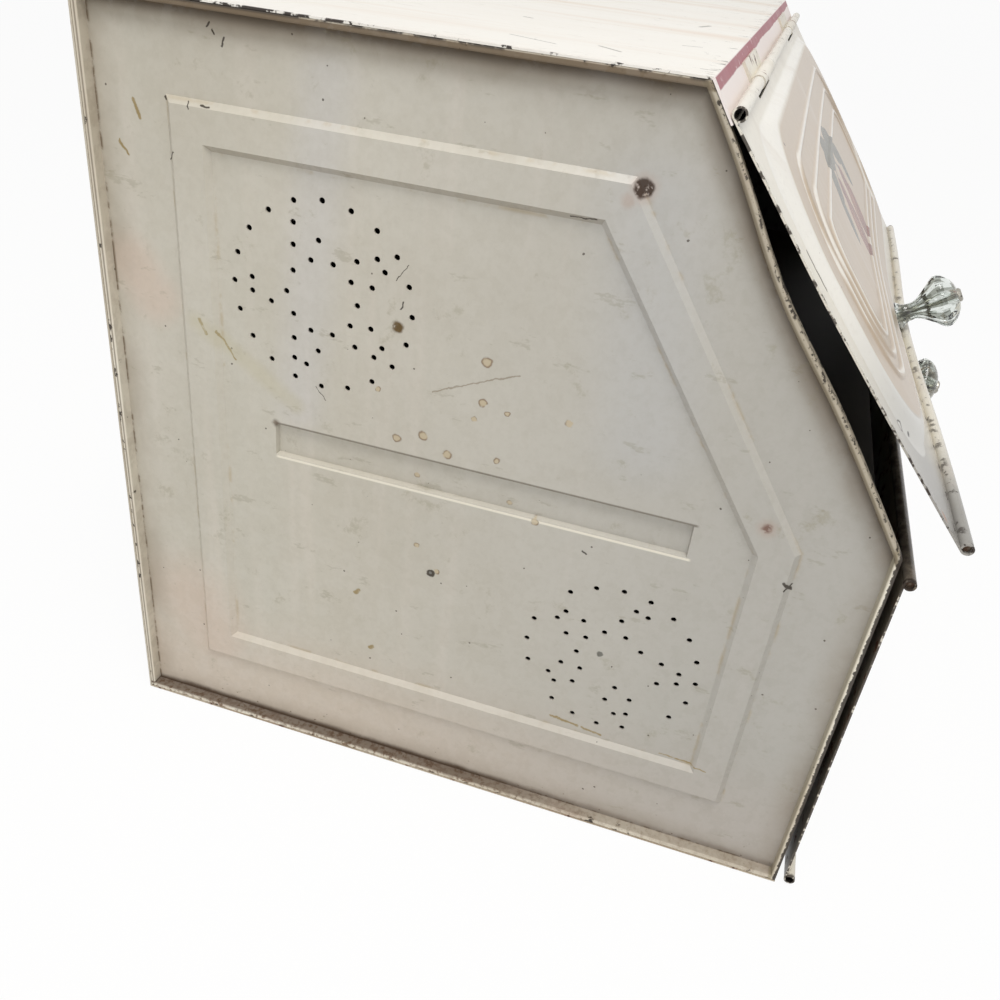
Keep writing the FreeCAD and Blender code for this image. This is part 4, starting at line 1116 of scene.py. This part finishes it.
def mix_door_enamel(name):
    paint = Paint(f"{name}_door_enamel")
    reach = REACH[name]
    across, down, lift = (
        paint.calc("ADD", paint.measure("DOT_PRODUCT", paint.place, tuple(row[:3])), row[3])
        for row in hinges[name].inverted()[:3]
    )
    bench = paint.add("ShaderNodeCombineXYZ", across, down, 0.0).outputs[0]
    flat = paint.ragged(bench, 420.0, 0.0012)
    cloud = paint.noise(10.0, 5, 0.6)
    fine = paint.noise(420.0, 3, 0.6)
    streaks = paint.noise(40.0, 3, 0.55, stretch=(1, 0.1, 0.1), shift=3.0)
    chipping = paint.noise(190.0, 5, 0.65, shift=15.0)
    shade = paint.coat(paint.fade(cloud, 0.3, 0.7), colour(214, 207, 192), colour(224, 219, 206))
    # painted shade: greyed towards the far edge at one side of each door
    low_end_painted_shade = paint.all_of(paint.fade(down, 0.07, 0.14), paint.fade(across, 0.12, 0.2))
    shade = paint.glaze(low_end_painted_shade, 0.92, shade, colour(146, 144, 140))
    to_foot = from_outline(paint, across, down, *field_foot(reach), 0.031)
    to_flat = from_outline(paint, across, down, *field_top(reach), 0.048)
    # painted highlight along the slope of the pressed field, turning to painted shade towards its far end
    field_slope_painted_highlight = paint.all_of(paint.fade(to_foot, 0.0006, -0.0012), paint.fade(to_flat, -0.0006, 0.0012))
    shade = paint.glaze(field_slope_painted_highlight, 0.75, shade, colour(233, 231, 225))
    field_slope_painted_shade = paint.all_of(field_slope_painted_highlight, paint.fade(down, 0.06, 0.12))
    shade = paint.glaze(field_slope_painted_shade, 0.6, shade, colour(186, 185, 180))
    # painted reflection: the raised flat of the field is tinted a warmer tan, as glossy enamel mirrors the
    # room there
    inner = paint.fade(to_flat, 0.0004, -0.0022)
    shade = paint.glaze(inner, 0.9, shade, colour(181, 162, 140))
    for number in range(RIDGES):
        to_ridge = from_outline(paint, across, down, *ridge(number, reach), 0.040 - 0.0107 * number)
        # painted highlight along the crest of each ridge
        ridge_painted_highlight = paint.band(to_ridge, -0.0024, -0.0008, 0.0006)
        shade = paint.glaze(ridge_painted_highlight, 0.8, shade, colour(236, 233, 226))
        foot = paint.all_of(paint.band(to_ridge, -0.0044, -0.0033, 0.0005), paint.fade(cloud, 0.3, 0.55))
        shade = paint.glaze(foot, 0.4, shade, colour(150, 136, 118))
    shade = paint.glaze(paint.fade(streaks, 0.5, 0.75), 0.35, shade, colour(198, 186, 172))
    shade = paint.glaze(paint.fade(fine, 0.5, 0.8), 0.1, shade, GRIME)
    specks = paint.specks(210.0, 0.0005, 0.2, shift=3.0)
    shade = paint.glaze(specks, 0.75, shade, colour(74, 62, 50))
    if name == "upper":
        shade = paint_pears(paint, bench, shade)
        chips = paint.any_of(
            paint.scratch(flat, (0.207, 0.047, 0), (0.2065, 0.061, 0), 0.0010, 0.4),
            paint.spot(flat, (0.2005, 0.120, 0), 0.0013),
            paint.spot(flat, (0.166, 0.020, 0), 0.0009),
        )
        loop = paint.measure("DISTANCE", flat, (0.2055, 0.1135, 0))
        chips = paint.any_of(chips, paint.band(loop, 0.0015, 0.0021, 0.0003))
        shade = paint.glaze(chips, 0.9, shade, colour(46, 38, 32))
        rust = paint.spot(flat, (0.2165, 0.145, 0), 0.0035, 0.9)
        shade = paint.glaze(rust, 0.7, shade, colour(160, 104, 58))
    side = paint.fade(paint.calc("ABSOLUTE", across), 0.2172, 0.2192)
    nicks = paint.noise(340.0, 4, 0.6, shift=63.0)
    rubbed_off = 0.50 if name == "upper" else 0.38
    cut = paint.all_of(side, paint.fade(nicks, rubbed_off, rubbed_off + 0.08))
    rolled = paint.fade(down, 0.0030, 0.0022)
    cracks = paint.all_of(rolled, paint.fade(paint.noise(330.0, 4, 0.75, shift=27.0), 0.61, 0.64))
    tuck = paint.band(down, reach - 0.0042, reach - 0.0020, 0.0006)
    pits = paint.all_of(tuck, paint.fade(chipping, 0.54, 0.58))
    bead_zone = paint.fade(down, reach - 0.0030, reach - 0.0018)
    # painted shade: the bead of the lower door is darkened as if in shadow
    if name == "lower":
        bead_painted_shade = paint.coat(paint.fade(chipping, 0.4, 0.6), colour(70, 60, 50), colour(112, 100, 86))
        shade = paint.glaze(bead_zone, 0.92, shade, bead_painted_shade)
    bead = paint.all_of(bead_zone, paint.fade(chipping, 0.64, 0.68))
    bare = paint.any_of(cut, cracks, pits, bead)
    shade = paint.glaze(bare, 0.9, shade, colour(46, 36, 30))
    from_pin = paint.measure("LENGTH", paint.add("ShaderNodeCombineXYZ", 0.0, down, lift).outputs[0])
    shade = paint.coat(paint.all_of(rolled, paint.fade(from_pin, 0.0018, 0.0016)), shade, SOOT)
    dull = paint.calc("MULTIPLY_ADD", bare, 0.4, 0.27)
    dents = paint.dents(15.0, 44.0, fine, 0.02)
    return paint.finish(shade, dull, dents, 0.0014, specular_ior_level=0.22)


# %% Paint the stencil of pears and leaves
LEAVES = (  # place across and down, turn in radians, half length and half width
    (0.036, 0.061, 0.5, 0.021, 0.0105),
    (0.015, 0.053, -0.35, 0.020, 0.0095),
    (-0.008, 0.053, 0.25, 0.019, 0.0090),
    (-0.030, 0.058, -0.55, 0.020, 0.0095),
    (0.052, 0.076, 1.1, 0.016, 0.0085),
    (-0.048, 0.072, -1.15, 0.016, 0.0080),
)


def paint_pears(paint, bench, shade):
    """Lay two faded pears and their leaves over the enamel of the upper door."""
    soft = paint.ragged(bench, 240.0, 0.0012)
    mottle = paint.noise(130.0, 4, 0.65, shift=33.0)
    leaves = []
    for x, y, turned, long, wide in LEAVES:
        radius = (long * long + wide * wide) / (2 * wide)
        shift = Vector((-math.sin(turned), math.cos(turned), 0)) * (radius - wide)
        centre = Vector((x, y, 0))
        one = paint.measure("DISTANCE", soft, tuple(centre + shift))
        other = paint.measure("DISTANCE", soft, tuple(centre - shift))
        leaves.append(paint.fade(paint.calc("MAXIMUM", one, other), radius, radius - 0.0008))
    green_parts = paint.any_of(
        *leaves,
        paint.scratch(soft, (0.024, 0.072, 0), (0.002, 0.056, 0), 0.0020),
        paint.scratch(soft, (-0.020, 0.072, 0), (0.002, 0.056, 0), 0.0020),
    )
    green = paint.coat(paint.fade(mottle, 0.35, 0.65), colour(66, 66, 56), colour(94, 94, 78))
    shade = paint.glaze(green_parts, 0.92, shade, green)
    for side in (1, -1):
        body = paint.calc("SUBTRACT", paint.measure("DISTANCE", soft, (side * 0.0180, 0.0915, 0)), 0.0165)
        neck = paint.calc("SUBTRACT", paint.measure("DISTANCE", soft, (side * 0.0155, 0.0750, 0)), 0.0090)
        pear = paint.fade(paint.calc("SMOOTH_MIN", body, neck, 0.004), 0.0004, -0.0004)
        lit = paint.fade(paint.measure("DISTANCE", soft, (side * 0.018 + 0.005, 0.087, 0)), 0.013, 0.002)
        skin = paint.coat(paint.fade(mottle, 0.3, 0.7), colour(104, 52, 40), colour(130, 70, 50))
        skin = paint.glaze(lit, 0.4, skin, colour(178, 122, 90))
        shade = paint.glaze(pear, 0.93, shade, skin)
    return shade


# %% Dress and hang both doors
door_inside = mix_plain_enamel("door_inside", colour(150, 140, 122), colour(116, 106, 92), 0.60)
for name in ("upper", "lower"):
    press_door(name, mix_door_enamel(name), door_inside)

# %% [markdown]
# ## Wire and screws
#
# The edge wires, hinge pins, screws, washers and nuts are plain steel that has dulled and rusted in
# patches. Steel is metallic where it is bare and not where rust covers it.

# %% Mix the steel
def mix_steel(name, bright, rust_level):
    paint = Paint(name)
    patches = paint.fade(paint.noise(220.0, 4, 0.65), rust_level, rust_level + 0.12)
    brushed = paint.noise(700.0, 2, 0.5, stretch=(0.08, 1, 1))
    shade = paint.coat(brushed, bright, tuple(part * 0.72 for part in bright[:3]) + (1.0,))
    shade = paint.coat(patches, shade, BROWN_RUST)
    paint.feed(paint.surface.inputs["Metallic"], paint.calc("MULTIPLY_ADD", patches, -0.9, 0.95))
    return paint.finish(shade, paint.calc("MULTIPLY_ADD", patches, 0.4, 0.34), brushed, 0.00005)


wire_steel = mix_steel("wire_steel", colour(120, 108, 94), 0.38)
screw_steel = mix_steel("screw_steel", colour(176, 172, 162), 0.58)
dress(wire_steel, *(name for name in nodes if name.endswith(("pins", "wire"))))
dress(screw_steel, *(name for name in nodes if name.endswith(("screw", "washer", "nut"))))

# %% [markdown]
# ## The upper door's wire
#
# The wire in the bead of the upper door is bent with the sheet, so the straight one is replaced. A
# small circle is drawn out along the edge in short steps, and each ring then moves with the bend.

# %% Draw the bent wire
WIRE_RADIUS = 0.0015
WIRE_HALF = 0.2181
WIRE_STEPS = 30


def draw_wire():
    mesh = bmesh.new()
    ring = bmesh.ops.create_circle(mesh, cap_ends=True, segments=16, radius=WIRE_RADIUS)["verts"]
    bmesh.ops.rotate(mesh, verts=ring, cent=(0, 0, 0), matrix=Matrix.Rotation(math.pi / 2, 3, "Y"))
    bmesh.ops.translate(mesh, verts=ring, vec=(-WIRE_HALF, REACH["upper"], BEAD - TUBE))
    face = mesh.faces[:]
    for step in range(WIRE_STEPS):
        grown = bmesh.ops.extrude_face_region(mesh, geom=face)["geom"]
        if step:
            bmesh.ops.delete(mesh, geom=face, context="FACES_ONLY")
        moved = [part for part in grown if isinstance(part, bmesh.types.BMVert)]
        face = [part for part in grown if isinstance(part, bmesh.types.BMFace)]
        bmesh.ops.translate(mesh, verts=moved, vec=(2 * WIRE_HALF / WIRE_STEPS, 0, 0))
    bmesh.ops.recalc_face_normals(mesh, faces=mesh.faces)
    for vertex in mesh.verts:
        vertex.co.z += bend_of("upper", vertex.co.x, REACH["upper"])
    bmesh.ops.transform(mesh, matrix=hinges["upper"], verts=mesh.verts)
    for part in mesh.faces:
        part.smooth = len(part.verts) == 4
    wire = make_piece("upper_bent_wire", mesh, None, wire_steel)
    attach(wire, "upper_door")
    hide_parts("upper_door_edge_wire")


draw_wire()

# %% [markdown]
# ## The glass knobs
#
# The knobs are clear pressed glass: a flared foot, a narrow waist and a trumpet head with twelve
# hollow flutes and a low domed face. A ring of vertices is drawn up through a list of heights and
# radii. Where the head flares, the ring is pulled in between twelve ridges. A long screw runs down
# the bore, and shows through the glass. The hollows of the flutes get a darker glass, a painted
# reflection: a real knob bends the dark of the room into them, and a white studio has no such dark.

# %% Mould a glass knob
FLUTES = 12
HOLLOW_FROM = 0.66  # darker glass, a painted reflection, where a flute is deeper than this share of its depth
HOLLOW_HEIGHTS = (0.003, 0.0262)
BORE_ZONE = 0.0038
KNOB_RINGS = (  # height and radius in millimetres, and the share that a flute cuts in
    (0.0, 2.6, 0), (0.0, 6.6, 0), (0.5, 7.15, 0), (1.6, 7.2, 0), (2.6, 6.7, 0), (4.0, 5.5, 0.02),
    (5.8, 4.7, 0.04), (8.0, 4.4, 0.05), (10.0, 4.55, 0.06), (11.8, 5.3, 0.07), (13.8, 6.7, 0.08),
    (16.0, 8.5, 0.08), (18.3, 10.5, 0.08), (20.4, 12.4, 0.07), (21.9, 13.5, 0.06), (23.0, 13.75, 0.05),
    (24.2, 13.6, 0.04), (25.6, 12.9, 0.03), (27.3, 11.4, 0.02), (29.0, 9.2, 0.01), (30.3, 6.8, 0),
    (30.9, 4.6, 0), (31.0, 3.9, 0), (31.0, 2.6, 0),
)


def mould_knob(name, place, glass, painted_dark_hollows):
    """Draw a fluted knob up from its foot, and set it on its door."""
    mesh = bmesh.new()
    ring = bmesh.ops.create_circle(mesh, cap_ends=False, segments=96, radius=1.0)["verts"]
    first = gather(ring[0].link_edges[0])
    edges = first
    for index, (height, radius, flute) in enumerate(KNOB_RINGS):
        if index:
            grown = bmesh.ops.extrude_edge_only(mesh, edges=edges)["geom"]
            ring = [part for part in grown if isinstance(part, bmesh.types.BMVert)]
            edges = [part for part in grown if isinstance(part, bmesh.types.BMEdge)]
        for vertex in ring:
            angle = math.atan2(vertex.co.y, vertex.co.x)
            out = radius / 1000 * (1 - flute * abs(math.sin(FLUTES / 2 * angle)))
            vertex.co = Vector((math.cos(angle) * out, math.sin(angle) * out, height / 1000))
    bmesh.ops.bridge_loops(mesh, edges=first + edges)
    bmesh.ops.recalc_face_normals(mesh, faces=mesh.faces)
    low, high = HOLLOW_HEIGHTS
    for part in mesh.faces:
        spot = part.calc_center_median()
        hollow = abs(math.sin(FLUTES / 2 * math.atan2(spot.y, spot.x))) > HOLLOW_FROM
        outer = math.hypot(spot.x, spot.y) > BORE_ZONE
        part.material_index = 1 if hollow and outer and low < spot.z < high else 0
        part.smooth = True
    bmesh.ops.transform(mesh, matrix=place, verts=mesh.verts)
    knob = make_piece(f"{name}_glass_knob", mesh, 42, glass, painted_dark_hollows)
    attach(knob, f"{name}_door")
    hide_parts(f"{name}_knob")


# %% Mix the glass
def mix_glass(name, dark, light):
    paint = Paint(name)
    shade = paint.coat(paint.noise(90.0, 3, 0.5), dark, light)
    return paint.finish(shade, 0.03, paint.noise(160.0, 2, 0.4), 0.0002, transmission_weight=1.0, ior=1.52)


knob_glass = mix_glass("knob_glass", colour(222, 228, 223), colour(236, 240, 236))
painted_dark_glass = mix_glass("knob_glass_hollows", colour(84, 88, 80), colour(132, 136, 126))
# painted shade: a darker copy of the clear glass for the lower knob
shaded_glass = mix_glass("knob_glass_shaded", colour(176, 180, 172), colour(206, 210, 202))

# %% Seat both knobs
KNOB_FROM_WIRE = 0.01095
KNOB_LEAN = 5.5  # degrees that the upper knob leans down


def knob_seat(name, bent=0.0):
    """The place on a flat or bent door where its knob stands."""
    return Matrix.Translation((0, REACH[name] - KNOB_FROM_WIRE, SHEET - TUBE + bent))


upper_bend = bend_of("upper", 0.0, REACH["upper"] - KNOB_FROM_WIRE)
upper_seat = knob_seat("upper", upper_bend) @ Matrix.Rotation(-math.radians(KNOB_LEAN), 4, "X")
mould_knob("upper", hinges["upper"] @ upper_seat, knob_glass, painted_dark_glass)
mould_knob("lower", hinges["lower"] @ knob_seat("lower"), shaded_glass, painted_dark_glass)

# %% [markdown]
# ## The upper knob's fastening
#
# The screw, washer and nut of the upper knob lean with it. Their shapes are right already, so a copy
# of each is joined up, carried back to the bench, and set down again along the leaning knob.

# %% Set the upper fastening along the knob
relay = hinges["upper"] @ upper_seat @ knob_seat("upper").inverted() @ hinges["upper"].inverted()
for part in ("screw", "washer", "nut"):
    mesh = joined_copy(f"upper_knob_{part}")
    bmesh.ops.transform(mesh, matrix=relay, verts=mesh.verts)
    copy = make_piece(f"upper_leaning_{part}", mesh, 30, screw_steel)
    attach(copy, "upper_door")
    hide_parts(f"upper_knob_{part}")
